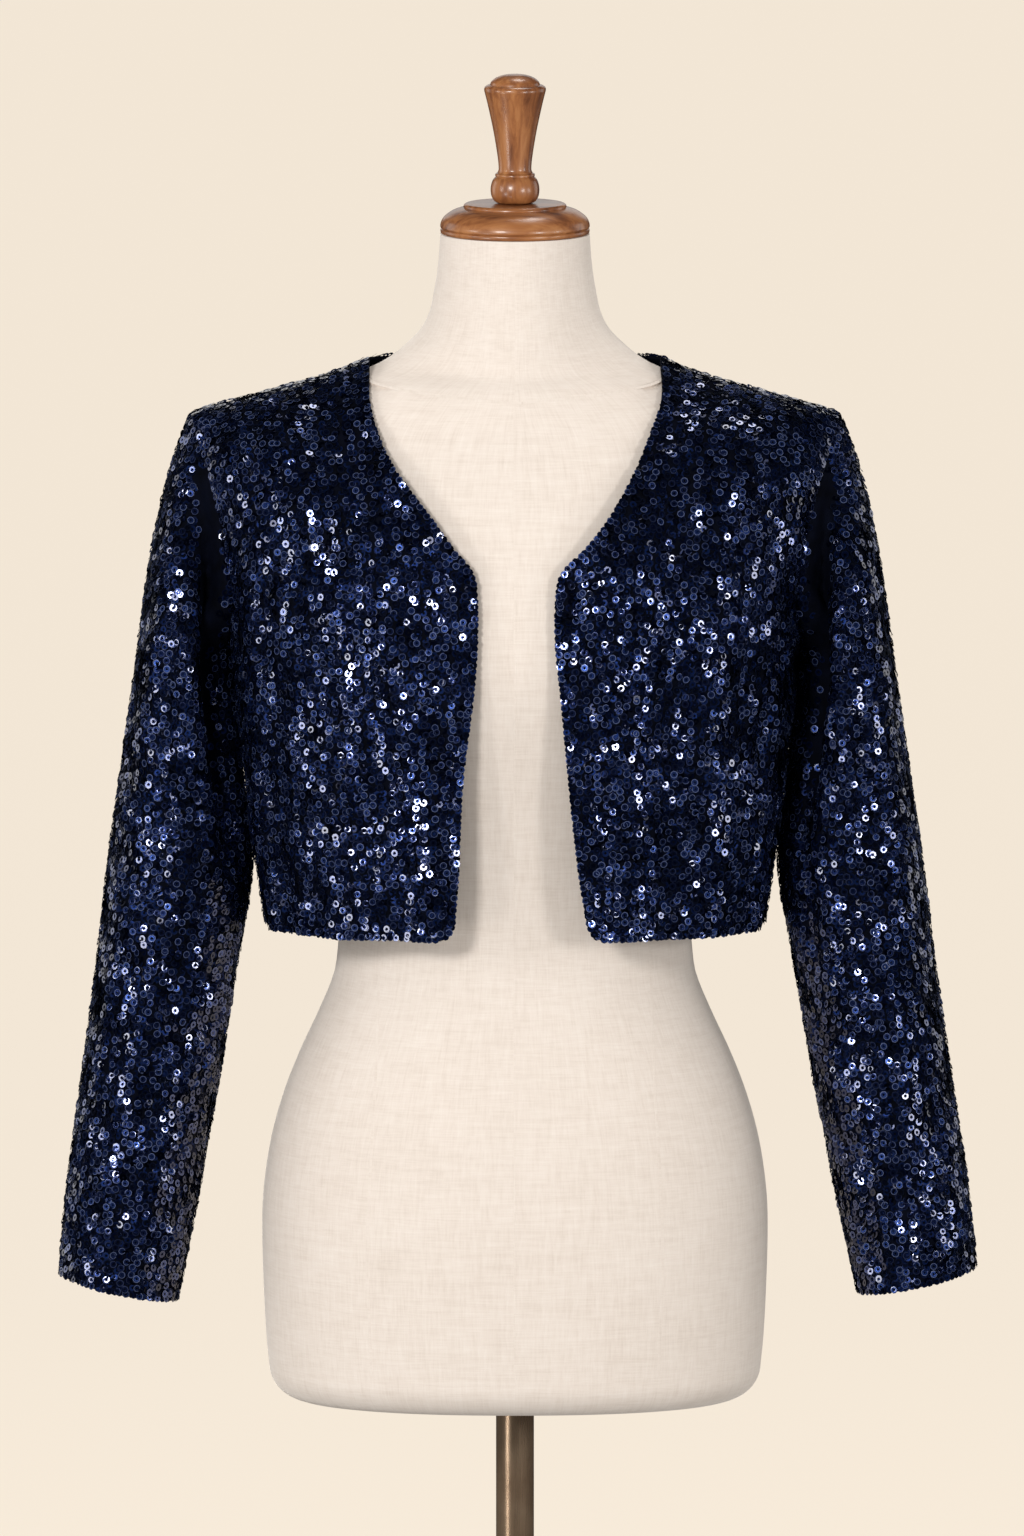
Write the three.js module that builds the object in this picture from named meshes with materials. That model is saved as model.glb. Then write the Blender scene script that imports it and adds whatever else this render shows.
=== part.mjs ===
// A cropped evening jacket on a limbless dress form with a turned wooden cap, a pole and a foot plate.
// Millimetres, +Z up. The origin is the middle of the foot plate's underside. The jacket faces -Y, and
// the wearer's left is +X. The cloth is a wall of even thickness, cut in five pieces that meet at seams.

import * as THREE from "three";

// Cloth and seams
const WALL = 2;
const SEAM_GAP = 0.3;

// Jacket body: the level of the hem, of the underarm and of the chest line, above which the shoulders close in
const HEM_Z = 1045;
const UNDERARM_Z = 1235;
const CHEST_Z = 1250;
const BODY_POWER = 2.7;
const NECK_POINT = { x: 102, z: 1439.5 };
const SHOULDER_TIP = { x: 222, z: 1402 };
const NECK_RISE = 0.64;
const NECK_RISE_SOFTNESS = 12;
const BACK_NECK = { z: 1437.5, power: 6 };

// Half width, front depth and back depth of the jacket body at each level up to the chest line
const BODY = [
  { z: 1045, width: 175, front: 120, back: 103 },
  { z: 1060, width: 177.5, front: 121, back: 104 },
  { z: 1080, width: 180.5, front: 122, back: 104.5 },
  { z: 1110, width: 185.5, front: 123.5, back: 105 },
  { z: 1150, width: 189.5, front: 125, back: 105 },
  { z: 1200, width: 195, front: 125.5, back: 104.5 },
  { z: 1250, width: 199.5, front: 125, back: 104 },
];

// Above the chest line the half width grows to this, and the profile from chest to shoulder seam is a
// curve of this power: fuller at the shoulder's tip than beside the neck
const SHOULDER_WIDTH = 234;
const SHOULDER_WIDENING = 1.3;
const PROFILE = { neckX: 100, tipX: 205, frontAtNeck: 1.75, backAtNeck: 2.05, atTip: 2.2 };

// Armhole: how far it is cut in from the body's side
const ARMHOLE_BITE = 9;
const ARMHOLE_BITE_LEVEL = 0.42;
const ARMHOLE_BITE_POWER = 1.4;

// Front edges and neckline: the distance from the centre line at each height
const FRONT_EDGE = [
  { z: 1045, right: 43, left: 51.5 },
  { z: 1063, right: 41.5, left: 49 },
  { z: 1095, right: 39.2, left: 44 },
  { z: 1156, right: 36.4, left: 37.5 },
  { z: 1220, right: 28.7, left: 31.6 },
  { z: 1256, right: 26.2, left: 28 },
  { z: 1294, right: 26.8, left: 29.3 },
  { z: 1305, right: 30.5, left: 34.5 },
  { z: 1318, right: 42, left: 48.5 },
  { z: 1340, right: 58.7, left: 66 },
  { z: 1370, right: 82.5, left: 83.5 },
  { z: 1395, right: 95.5, left: 94.5 },
  { z: 1417, right: 101.5, left: 102.5 },
  { z: 1439.5, right: 102, left: 102 },
];
const NECKLINE_START_Z = 1294;
const HEM_CORNER_RADIUS = 13;
const HEM_CORNER_SHARES = [0, 0.2, 0.55, 1];

// Soft folds of the body: each runs from one height and angle to another. Angles are in degrees round the
// body, 0 at the centre front, 90 at the wearer's left side and 180 at the centre back
const BODY_FOLDS = [
  { topZ: 1385, topTurn: 25, lowZ: 1030, lowTurn: 22, width: 7, height: 3 },
  { topZ: 1335, topTurn: 41, lowZ: 1030, lowTurn: 46, width: 5.5, height: 3.5 },
  { topZ: 1300, topTurn: 59, lowZ: 1030, lowTurn: 62, width: 5.5, height: 4.5 },
  { topZ: 1395, topTurn: -34, lowZ: 1030, lowTurn: -15, width: 6, height: 3.5 },
  { topZ: 1320, topTurn: -46, lowZ: 1030, lowTurn: -39, width: 6, height: 3 },
  { topZ: 1290, topTurn: -62, lowZ: 1030, lowTurn: -64, width: 5.5, height: 4 },
  { topZ: 1330, topTurn: 122, lowZ: 1030, lowTurn: 114, width: 7, height: 4 },
  { topZ: 1290, topTurn: 146, lowZ: 1030, lowTurn: 143, width: 8, height: 3 },
  { topZ: 1370, topTurn: 176, lowZ: 1030, lowTurn: 173, width: 9, height: 3.5 },
  { topZ: 1310, topTurn: 209, lowZ: 1030, lowTurn: 213, width: 8, height: 3.5 },
  { topZ: 1335, topTurn: 236, lowZ: 1030, lowTurn: 245, width: 7, height: 4 },
];
const FOLD_FADE = 70;

// Turns round the body are measured as if its plan were as deep as it is wide
const PLAN_STRETCH = BODY[0].width / BODY[0].front;

// Sleeve sections from the upper arm to the cuff: the height of the middle, the outer and inner edge's
// distance from the centre line, half the depth, the middle's place from front to back, and the tilt
const SLEEVE = [
  { z: 1215, outer: 266, inner: 197.4, depth: 63, y: -4, tilt: 0 },
  { z: 1150, outer: 275, inner: 190.9, depth: 58, y: -5, tilt: 2 },
  { z: 1087, outer: 284, inner: 184.6, depth: 52, y: -7, tilt: 4 },
  { z: 1010, outer: 293, inner: 196, depth: 50, y: -10, tilt: 6 },
  { z: 920, outer: 305, inner: 210.5, depth: 47, y: -14, tilt: 8 },
  { z: 850, outer: 315, inner: 223.7, depth: 43, y: -18, tilt: 10.5 },
  { z: 787, outer: 321, inner: 236.3, depth: 40, y: -21, tilt: 12.5 },
];

const SLEEVE_UPWARD = [...SLEEVE].reverse();
const SLEEVE_TOP_Z = SLEEVE[0].z;
const CUFF_Z = SLEEVE_UPWARD[0].z;

// How much further out and up each cuff hangs than the table says. The shift grows down the sleeve
const CUFF_SHIFT = {
  left: { out: 3, up: 5 },
  right: { out: -1, up: 0 },
};

// How a sleeve leaves the armhole: outward at the shoulder's tip, nearly straight down under the arm
const SLEEVE_HEAD = { outAtTip: 0.46, outAtUnderarm: 0.1, swell: 0.25 };
const SLEEVE_TURN_POWER = 1.4;

// Over this many rows below the armhole a sleeve's wall settles square to its surface and its folds begin
const SETTLE_ROWS = 3;

// Soft folds of the sleeves, in degrees round the sleeve: 0 along its outer edge, 90 in front. A long
// fold runs down the sleeve, and a cross fold is a dent or ridge across it
const LONG_SLEEVE_FOLDS = [
  { topZ: 1330, lowZ: 900, around: 48, width: 17, height: 3 },
  { topZ: 1300, lowZ: 1000, around: 98, width: 15, height: 2.5 },
  { topZ: 1080, lowZ: 760, around: 75, width: 18, height: 2.5 },
  { topZ: 1310, lowZ: 930, around: 305, width: 18, height: 3 },
  { topZ: 1050, lowZ: 760, around: 268, width: 18, height: 2.5 },
];
const CROSS_SLEEVE_FOLDS = [
  { z: 1128, around: 105, reach: 42, width: 17, slope: 0.35, height: -3 },
  { z: 1062, around: 120, reach: 45, width: 16, slope: -0.3, height: -3.5 },
  { z: 1095, around: 255, reach: 45, width: 18, slope: 0.3, height: -3 },
  { z: 880, around: 130, reach: 48, width: 18, slope: 0.3, height: -2.5 },
];

// Valley between each sleeve and the body, in front and at the back: its distance from the centre line
// and how far it goes into the sleeve at each height
const VALLEY = [
  { z: 1075, x: 191, depth: 0 },
  { z: 1130, x: 196, depth: 11 },
  { z: 1180, x: 201, depth: 16 },
  { z: 1235, x: 207, depth: 19 },
  { z: 1300, x: 213, depth: 19 },
  { z: 1345, x: 217.5, depth: 13 },
  { z: 1385, x: 222, depth: 0 },
];
const VALLEY_WIDTH = 11;

// Sections of the dress form from the underside to the top of the neck
const FORM = [
  { z: 729, width: 172.5, front: 110.5, back: 118.5, power: 2.3 },
  { z: 748, width: 174.4, front: 111.2, back: 120.3, power: 2.3 },
  { z: 782, width: 176.2, front: 112, back: 122, power: 2.3 },
  { z: 825, width: 177.3, front: 112, back: 123, power: 2.3 },
  { z: 853, width: 176.2, front: 111, back: 122, power: 2.3 },
  { z: 888, width: 171, front: 108, back: 118, power: 2.3 },
  { z: 920, width: 162.2, front: 104, back: 112, power: 2.3 },
  { z: 949, width: 151, front: 99, back: 104, power: 2.3 },
  { z: 978, width: 137.6, front: 93, back: 96, power: 2.3 },
  { z: 1004, width: 127, front: 89, back: 90, power: 2.3 },
  { z: 1021, width: 124.3, front: 88, back: 88, power: 2.3 },
  { z: 1050, width: 122.5, front: 88, back: 86, power: 2.3 },
  { z: 1090, width: 123.5, front: 91, back: 86, power: 2.3 },
  { z: 1130, width: 127, front: 97, back: 88, power: 2.3 },
  { z: 1180, width: 135, front: 107, back: 91, power: 2.3 },
  { z: 1230, width: 146, front: 117, back: 94, power: 2.3 },
  { z: 1270, width: 153, front: 118, back: 95.5, power: 2.3 },
  { z: 1305, width: 158, front: 111, back: 93.5, power: 2.3 },
  { z: 1340, width: 164, front: 100, back: 88, power: 2.3 },
  { z: 1370, width: 168, front: 88, back: 81, power: 2.2 },
  { z: 1396, width: 163, front: 77, back: 73, power: 2 },
  { z: 1412, width: 151, front: 73, back: 70.5, power: 1.8 },
  { z: 1424, width: 130, front: 68, back: 66.5, power: 1.7 },
  { z: 1432, width: 102, front: 62.5, back: 62, power: 1.65 },
  { z: 1440, width: 87, front: 61, back: 60.5, power: 1.7 },
  { z: 1448, width: 77, front: 60, back: 59.5, power: 1.8 },
  { z: 1459, width: 66, front: 58.5, back: 58, power: 1.95 },
  { z: 1471, width: 59.8, front: 57, back: 56.5, power: 2 },
  { z: 1487, width: 56.3, front: 55, back: 55, power: 2 },
  { z: 1503, width: 53.8, front: 53.5, back: 53.5, power: 2 },
  { z: 1526, width: 52, front: 52, back: 52, power: 2 },
];
const FORM_EDGE_RADIUS = 23;
const FORM_EDGE_STEPS = 4;

// The cloth rests this close over the form: below its outer surface, and in from it
const UNDER_CLOTH = { below: 2.2, inside: 2.1, neckBlend: 18, topZ: NECK_POINT.z + 1 };

// Stand
const FORM_BOTTOM_Z = FORM[0].z - FORM_EDGE_RADIUS;
const NECK_TOP_Z = FORM[FORM.length - 1].z;
const POLE_RADIUS = 13.3;
const BASE_RADIUS = 185;
const BASE_THICKNESS = 8;
const BASE_BEVEL = 2;

// Turned profiles: the radius at each height above the face that the piece stands on
const CAP_PROFILE = [
  { r: 50.5, h: 0 },
  { r: 52, h: 1.5 },
  { r: 52, h: 5 },
  { r: 51.7, h: 7.5 },
  { r: 50.3, h: 10.5 },
  { r: 47.5, h: 13.2 },
  { r: 43.6, h: 15.8 },
  { r: 38.5, h: 17.6 },
  { r: 35.6, h: 18.2 },
  { r: 35.2, h: 20 },
  { r: 34, h: 21 },
];
const FINIAL_PROFILE = [
  { r: 11.5, h: 0 },
  { r: 15, h: 2.2 },
  { r: 17, h: 7 },
  { r: 16.8, h: 12.5 },
  { r: 14.2, h: 18 },
  { r: 12.3, h: 21 },
  { r: 11.3, h: 24 },
  { r: 12.2, h: 33 },
  { r: 15, h: 50 },
  { r: 18.6, h: 67 },
  { r: 20.9, h: 76 },
  { r: 21.5, h: 79 },
  { r: 20.6, h: 82 },
  { r: 17, h: 84.2 },
  { r: 15.5, h: 86.6 },
  { r: 10, h: 89.2 },
];
const FINIAL_HEIGHT = 90;

// How finely each surface is divided
const FRONT_COLUMNS = 14;
const SKIRT_ROWS = 9;
const ARMHOLE_ROWS = 13;
const BACK_NECK_COLUMNS = 6;
const BACK_SHOULDER_COLUMNS = 9;
const SLEEVE_SIDES = 2 * ARMHOLE_ROWS;
const SLEEVE_HEAD_ROWS = 8;
const SLEEVE_ARM_ROWS = 15;
const FORM_SIDES = 36;
const TURNED_SIDES = 24;

// Small steps for slopes: in millimetres, in radians round a loop and in rows. Then the least share of a
// plan's depth, and how often the search for the cloth's underside halves its span
const SLOPE_STEP = 0.05;
const TURN_STEP = 0.02;
const ROW_STEP = 0.02;
const LEAST_PLAN_DEPTH = 0.05;
const HALVINGS = 24;

// Colours and finishes
const SEQUIN_CLOTH = { color: 0x101c44, roughness: 0.35, metalness: 0.6 };
const LINEN = { color: 0xe6dacb, roughness: 0.9, metalness: 0 };
const WOOD = { color: 0x8a5433, roughness: 0.4, metalness: 0 };
const BRONZE = { color: 0x7d654c, roughness: 0.35, metalness: 1 };

const BODY_ROWS = SKIRT_ROWS + ARMHOLE_ROWS;

function mix(a, b, share) {
  return a + (b - a) * share;
}

function soften(share) {
  const s = Math.min(Math.max(share, 0), 1);
  return s * s * (3 - 2 * s);
}

// Even shares drawn closer together towards 1
function closeUp(share) {
  return Math.sin(Math.PI / 2 * share);
}

// A value from a table's column at a height, on a smooth curve through its rows
function along(table, column, z) {
  const last = table.length - 1;
  if (z <= table[0].z) return table[0][column];
  if (z >= table[last].z) return table[last][column];
  let row = 0;
  while (table[row + 1].z < z) row += 1;
  const slope = (k) => {
    const before = table[Math.max(k - 1, 0)];
    const after = table[Math.min(k + 1, last)];
    return (after[column] - before[column]) / (after.z - before.z);
  };
  const span = table[row + 1].z - table[row].z;
  const t = (z - table[row].z) / span;
  const rise = table[row + 1][column] - table[row][column];
  const start = slope(row) * span;
  const end = slope(row + 1) * span;
  const bend = (start + end - 2 * rise) * t + (3 * rise - 2 * start - end);
  return table[row][column] + t * (start + t * bend);
}

// The plan of a section: how deep it is, as a share of its depth, at this share of its half width
function planDepth(across, power = BODY_POWER) {
  return Math.max(1 - Math.abs(across) ** power, 0) ** (1 / power);
}

// Jacket body

// The height of the shoulder line at a distance from the centre: it falls to the tip, and inside the neck
// point the surface would go on rising to the nape
const RIDGE_BASE_Z = NECK_POINT.z - NECK_RISE * NECK_RISE_SOFTNESS * Math.LN2;
const SHOULDER_SLOPE = (RIDGE_BASE_Z - SHOULDER_TIP.z) / (SHOULDER_TIP.x - NECK_POINT.x);

function ridgeHeight(x) {
  const beyond = Math.abs(x) - NECK_POINT.x;
  const lift = NECK_RISE_SOFTNESS * Math.log1p(Math.exp(-beyond / NECK_RISE_SOFTNESS));
  return RIDGE_BASE_Z - SHOULDER_SLOPE * Math.max(beyond, 0) + NECK_RISE * lift;
}

// A level is a height up to the chest line. Above it, it is the share of the way up to the shoulder line
function closingShare(level) {
  return Math.max(level - CHEST_Z, 0) / (SHOULDER_TIP.z - CHEST_Z);
}

function levelAt(x, z) {
  if (z <= CHEST_Z) return z;
  return mix(CHEST_Z, SHOULDER_TIP.z, (z - CHEST_Z) / (ridgeHeight(x) - CHEST_Z));
}

function bodyWidth(level) {
  const share = closingShare(level) ** SHOULDER_WIDENING;
  return mix(along(BODY, "width", level), SHOULDER_WIDTH, share);
}

function profilePower(x, front) {
  const share = (Math.abs(x) - PROFILE.neckX) / (PROFILE.tipX - PROFILE.neckX);
  return mix(front ? PROFILE.frontAtNeck : PROFILE.backAtNeck, PROFILE.atTip, soften(share));
}

// The outer surface, from the share of its half width, the level and the side, front or back
function bodyPoint(across, level, front) {
  const x = bodyWidth(level) * across;
  const share = closingShare(level);
  const power = profilePower(x, front);
  const closing = Math.max(1 - share ** power, 0) ** (1 / power);
  const depth = along(BODY, front ? "front" : "back", level) * planDepth(across) * closing;
  const y = Math.max(depth, SEAM_GAP / 2) * (front ? -1 : 1);
  const z = level <= CHEST_Z ? level : mix(CHEST_Z, ridgeHeight(x), share);
  return new THREE.Vector3(x, y, z);
}

// How far a point lies outside the body's surface, in a form that is smooth where it is used
function bodyField(x, y, z, overChest) {
  const front = y < 0;
  const share = overChest ? Math.max(z - CHEST_Z, 0) / (ridgeHeight(x) - CHEST_Z) : 0;
  const width = mix(along(BODY, "width", z), SHOULDER_WIDTH, share ** SHOULDER_WIDENING);
  const depth = along(BODY, front ? "front" : "back", z);
  if (!overChest) {
    return Math.abs(x / width) ** BODY_POWER + Math.abs(y / depth) ** BODY_POWER - 1;
  }
  const power = profilePower(x, front);
  const reach = depth * Math.max(planDepth(x / width), LEAST_PLAN_DEPTH);
  return Math.abs(y / reach) ** power + share ** power - 1;
}

function bodyNormal(point) {
  const overChest = point.z > CHEST_Z + SLOPE_STEP;
  const slope = (axis) => {
    const ahead = point.clone();
    const behind = point.clone();
    ahead[axis] += SLOPE_STEP;
    behind[axis] -= SLOPE_STEP;
    const far = bodyField(ahead.x, ahead.y, ahead.z, overChest);
    return far - bodyField(behind.x, behind.y, behind.z, overChest);
  };
  return new THREE.Vector3(slope("x"), slope("y"), slope("z")).normalize();
}

// The height of all soft folds at a point of the body
function bodyFold(point) {
  const turn = THREE.MathUtils.radToDeg(Math.atan2(point.x, -point.y * PLAN_STRETCH));
  let height = 0;
  for (const fold of BODY_FOLDS) {
    const fallen = (fold.topZ - point.z) / (fold.topZ - fold.lowZ);
    const middle = mix(fold.topTurn, fold.lowTurn, fallen);
    const off = (((turn - middle) % 360) + 540) % 360 - 180;
    const fade = soften((fold.topZ - point.z) / FOLD_FADE);
    height += fold.height * fade * Math.exp(-((off / fold.width) ** 2));
  }
  return height;
}

// Armhole: the loop round a shoulder, 0 at the tip, positive in front and half a turn at the underarm
function armholeLevel(around) {
  const middle = (SHOULDER_TIP.z + UNDERARM_Z) / 2;
  return middle + (SHOULDER_TIP.z - UNDERARM_Z) / 2 * Math.cos(around);
}

function armholeAcross(level) {
  const risen = (level - UNDERARM_Z) / (SHOULDER_TIP.z - UNDERARM_Z);
  const swing = Math.sin(Math.PI / 2 * Math.min(risen / ARMHOLE_BITE_LEVEL, 1));
  return 1 - ARMHOLE_BITE * swing ** ARMHOLE_BITE_POWER / bodyWidth(level);
}

function armholePoint(around) {
  const level = armholeLevel(around);
  return bodyPoint(armholeAcross(level), level, Math.sin(around) > 0);
}

// A panel's outer edge: the side seam, then the armhole up to the shoulder seam
function sideAcross(level, front) {
  if (level > UNDERARM_Z) return armholeAcross(level);
  const seam = SEAM_GAP / 2 / along(BODY, front ? "front" : "back", level);
  return planDepth(seam);
}

function sideLevels() {
  const levels = [];
  for (let row = 0; row < SKIRT_ROWS; row += 1) {
    levels.push(mix(HEM_Z, UNDERARM_Z, row / SKIRT_ROWS));
  }
  for (let row = 0; row <= ARMHOLE_ROWS; row += 1) {
    levels.push(armholeLevel(Math.PI * (1 - row / ARMHOLE_ROWS)));
  }
  return levels;
}

// The angle whose plan point has this share of the half width, which spaces columns evenly
function turnOf(across) {
  return Math.asin(Math.min(across, 1) ** (BODY_POWER / 2));
}

function acrossOf(turn) {
  return Math.sin(turn) ** (2 / BODY_POWER);
}

// Heights of the rows along a front edge: close together at the hem's rounded corner, even to the
// neckline's start, and closing up towards the shoulder seam, where the cloth turns over
function frontEdgeHeights() {
  const corner = HEM_CORNER_SHARES.map((share) => HEM_Z + share * HEM_CORNER_RADIUS);
  const edgeRows = Math.round(BODY_ROWS / 2) - corner.length + 1;
  const neckRows = BODY_ROWS - edgeRows - corner.length + 1;
  const start = corner[corner.length - 1];
  const heights = [...corner];
  for (let row = 1; row <= edgeRows; row += 1) {
    heights.push(mix(start, NECKLINE_START_Z, row / edgeRows));
  }
  for (let row = 1; row <= neckRows; row += 1) {
    heights.push(mix(NECKLINE_START_Z, NECK_POINT.z, closeUp(row / neckRows)));
  }
  return heights;
}

function frontEdge(z, side) {
  const left = HEM_CORNER_RADIUS - (z - HEM_Z);
  const rounding = left > 0
    ? HEM_CORNER_RADIUS - Math.sqrt(HEM_CORNER_RADIUS ** 2 - left ** 2)
    : 0;
  return along(FRONT_EDGE, side, z) + rounding;
}

// The outer and inner points of one panel from its base surface
function pairOfSkins(base) {
  const outer = base.map((row) => row.map(({ point, normal }) => {
    return point.clone().addScaledVector(normal, bodyFold(point));
  }));
  const inner = base.map((row) => row.map(({ point, normal }) => {
    return point.clone().addScaledVector(normal, bodyFold(point) - WALL);
  }));
  return { outer, inner };
}

function basePoint(across, level, front, sign) {
  const point = bodyPoint(across, level, front);
  point.x *= sign;
  return { point, normal: bodyNormal(point) };
}

function frontPanel(side) {
  const sign = side === "left" ? 1 : -1;
  const outerEdge = sideLevels();
  const base = frontEdgeHeights().map((z, row) => {
    const edgeX = frontEdge(z, side);
    const edgeLevel = levelAt(edgeX, z);
    const edgeTurn = turnOf(edgeX / bodyWidth(edgeLevel));
    const sideTurn = turnOf(sideAcross(outerEdge[row], true));
    const points = [];
    for (let column = 0; column <= FRONT_COLUMNS; column += 1) {
      const share = column / FRONT_COLUMNS;
      const level = mix(edgeLevel, outerEdge[row], share);
      points.push(basePoint(acrossOf(mix(edgeTurn, sideTurn, share)), level, true, sign));
    }
    return points;
  });
  return wallGeometry(pairOfSkins(base), false);
}

// The back's top edge: the half width's share and the level, along the neckline and then the shoulder
function backTop(column) {
  if (column >= BACK_NECK_COLUMNS) {
    const share = (column - BACK_NECK_COLUMNS) / BACK_SHOULDER_COLUMNS;
    const x = mix(NECK_POINT.x, SHOULDER_TIP.x, share);
    return { across: x / bodyWidth(SHOULDER_TIP.z), level: SHOULDER_TIP.z };
  }
  const share = Math.sin(Math.PI / 2 * column / BACK_NECK_COLUMNS);
  const x = NECK_POINT.x * share;
  const level = levelAt(x, mix(BACK_NECK.z, NECK_POINT.z, share ** BACK_NECK.power));
  return { across: x / bodyWidth(level), level };
}

function backPanel() {
  const levels = sideLevels();
  const half = BACK_NECK_COLUMNS + BACK_SHOULDER_COLUMNS;
  const top = Array.from({ length: half + 1 }, (_, column) => backTop(column));
  const base = levels.map((sideLevel, row) => {
    const evenShare = row / BODY_ROWS;
    const middleRise = closeUp(evenShare);
    const sideRise = (sideLevel - HEM_Z) / (SHOULDER_TIP.z - HEM_Z);
    const sideTurn = turnOf(sideAcross(sideLevel, false));
    const points = [];
    for (let column = -half; column <= half; column += 1) {
      const place = Math.abs(column);
      const share = place / half;
      const rise = mix(middleRise, sideRise, share);
      const level = mix(HEM_Z, top[place].level, rise);
      const topTurn = turnOf(top[place].across) / turnOf(top[half].across);
      const turn = sideTurn * mix(share, topTurn, evenShare);
      points.push(basePoint(acrossOf(turn), level, false, Math.sign(column)));
    }
    return points;
  });
  return wallGeometry(pairOfSkins(base), false);
}

// Sleeves, made for the wearer's left and mirrored for the right

// A point of the arm: 0 round is the outer edge, a quarter turn is the front
function sleeveSection(around, z, shift) {
  const fallen = (SLEEVE_TOP_Z - z) / (SLEEVE_TOP_Z - CUFF_Z);
  const outer = along(SLEEVE_UPWARD, "outer", z);
  const inner = along(SLEEVE_UPWARD, "inner", z);
  const tilt = THREE.MathUtils.degToRad(along(SLEEVE_UPWARD, "tilt", z));
  const reach = (outer - inner) / 2 * Math.cos(around);
  return new THREE.Vector3(
    (outer + inner) / 2 + reach * Math.cos(tilt) + shift.out * fallen ** 2,
    along(SLEEVE_UPWARD, "y", z) - along(SLEEVE_UPWARD, "depth", z) * Math.sin(around),
    z + reach * Math.sin(tilt) + shift.up * fallen ** 2,
  );
}

// Where the sleeve starts: beside the armhole's edge, with its wall turned from in line with the body's
// at the shoulder's tip to lying on the outside of it at the underarm
function sleeveStart(around) {
  const point = armholePoint(around);
  const normal = bodyNormal(point);
  const run = armholePoint(around + TURN_STEP).sub(armholePoint(around - TURN_STEP));
  const away = normal.clone().cross(run).normalize();
  const fromTip = Math.acos(Math.cos(around));
  const turned = Math.PI * (fromTip / Math.PI) ** SLEEVE_TURN_POWER;
  const apart = away.clone().multiplyScalar(Math.cos(turned / 2));
  apart.addScaledVector(normal, Math.sin(turned / 2)).normalize();
  const inward = away.clone().multiplyScalar(Math.sin(turned));
  inward.addScaledVector(normal, -Math.cos(turned)).normalize();
  return { point: point.addScaledVector(apart, SEAM_GAP), inward };
}

function headDirection(around) {
  const under = (1 - Math.cos(around)) / 2;
  const out = mix(SLEEVE_HEAD.outAtTip, SLEEVE_HEAD.outAtUnderarm, under);
  return new THREE.Vector3(out, -SLEEVE_HEAD.swell * Math.sin(around), -1).normalize();
}

function sleeveHeadPoint(around, share, shift) {
  const start = sleeveStart(around).point;
  const end = sleeveSection(around, SLEEVE_TOP_Z, shift);
  const below = sleeveSection(around, SLEEVE_TOP_Z - 1, shift);
  const third = start.distanceTo(end) / 3;
  const first = start.clone().addScaledVector(headDirection(around), third);
  const second = end.clone().addScaledVector(below.sub(end).normalize(), -third);
  return new THREE.CubicBezierCurve3(start, first, second, end).getPoint(share);
}

function sleeveFold(point, around) {
  const degrees = THREE.MathUtils.radToDeg(around);
  const offFrom = (middle) => (((degrees - middle) % 360) + 540) % 360 - 180;
  const aside = (point.x - along(VALLEY, "x", point.z)) / VALLEY_WIDTH;
  const facing = Math.abs(Math.sin(around));
  let height = -along(VALLEY, "depth", point.z) * facing * Math.exp(-(aside ** 2));
  for (const fold of LONG_SLEEVE_FOLDS) {
    const fadeIn = soften((fold.topZ - point.z) / FOLD_FADE);
    const fadeOut = fold.lowZ < CUFF_Z ? 1 : soften((point.z - fold.lowZ) / FOLD_FADE);
    const shape = Math.exp(-((offFrom(fold.around) / fold.width) ** 2));
    height += fold.height * fadeIn * fadeOut * shape;
  }
  for (const fold of CROSS_SLEEVE_FOLDS) {
    const off = offFrom(fold.around);
    const rise = point.z - fold.z - fold.slope * off;
    const shape = Math.exp(-((rise / fold.width) ** 2) - (off / fold.reach) ** 2);
    height += fold.height * shape;
  }
  return height;
}

function sleeve(side) {
  const sign = side === "left" ? 1 : -1;
  const shift = CUFF_SHIFT[side];
  const rows = SLEEVE_HEAD_ROWS + SLEEVE_ARM_ROWS;
  const surface = (row, around) => {
    if (row <= SLEEVE_HEAD_ROWS) return sleeveHeadPoint(around, row / SLEEVE_HEAD_ROWS, shift);
    const share = (row - SLEEVE_HEAD_ROWS) / SLEEVE_ARM_ROWS;
    return sleeveSection(around, mix(SLEEVE_TOP_Z, CUFF_Z, share), shift);
  };
  const outer = [];
  const inner = [];
  for (let row = 0; row <= rows; row += 1) {
    outer.push([]);
    inner.push([]);
    for (let column = 0; column < SLEEVE_SIDES; column += 1) {
      const around = 2 * Math.PI * column / SLEEVE_SIDES;
      const point = surface(row, around);
      const down = surface(Math.min(row + ROW_STEP, rows), around);
      down.sub(surface(Math.max(row - ROW_STEP, 0), around));
      const round = surface(row, around + TURN_STEP).sub(surface(row, around - TURN_STEP));
      const inward = down.cross(round).normalize();
      const start = sleeveStart(around).inward;
      const settled = soften(row / SETTLE_ROWS);
      const offset = start.lerp(inward, settled).normalize();
      const fold = sleeveFold(point, around) * settled;
      outer[row].push(point.clone().addScaledVector(inward, -fold));
      inner[row].push(point.clone().addScaledVector(inward, -fold).addScaledVector(offset, WALL));
    }
  }
  for (const point of [...outer, ...inner].flat()) point.x *= sign;
  return wallGeometry({ outer, inner }, true);
}

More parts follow.
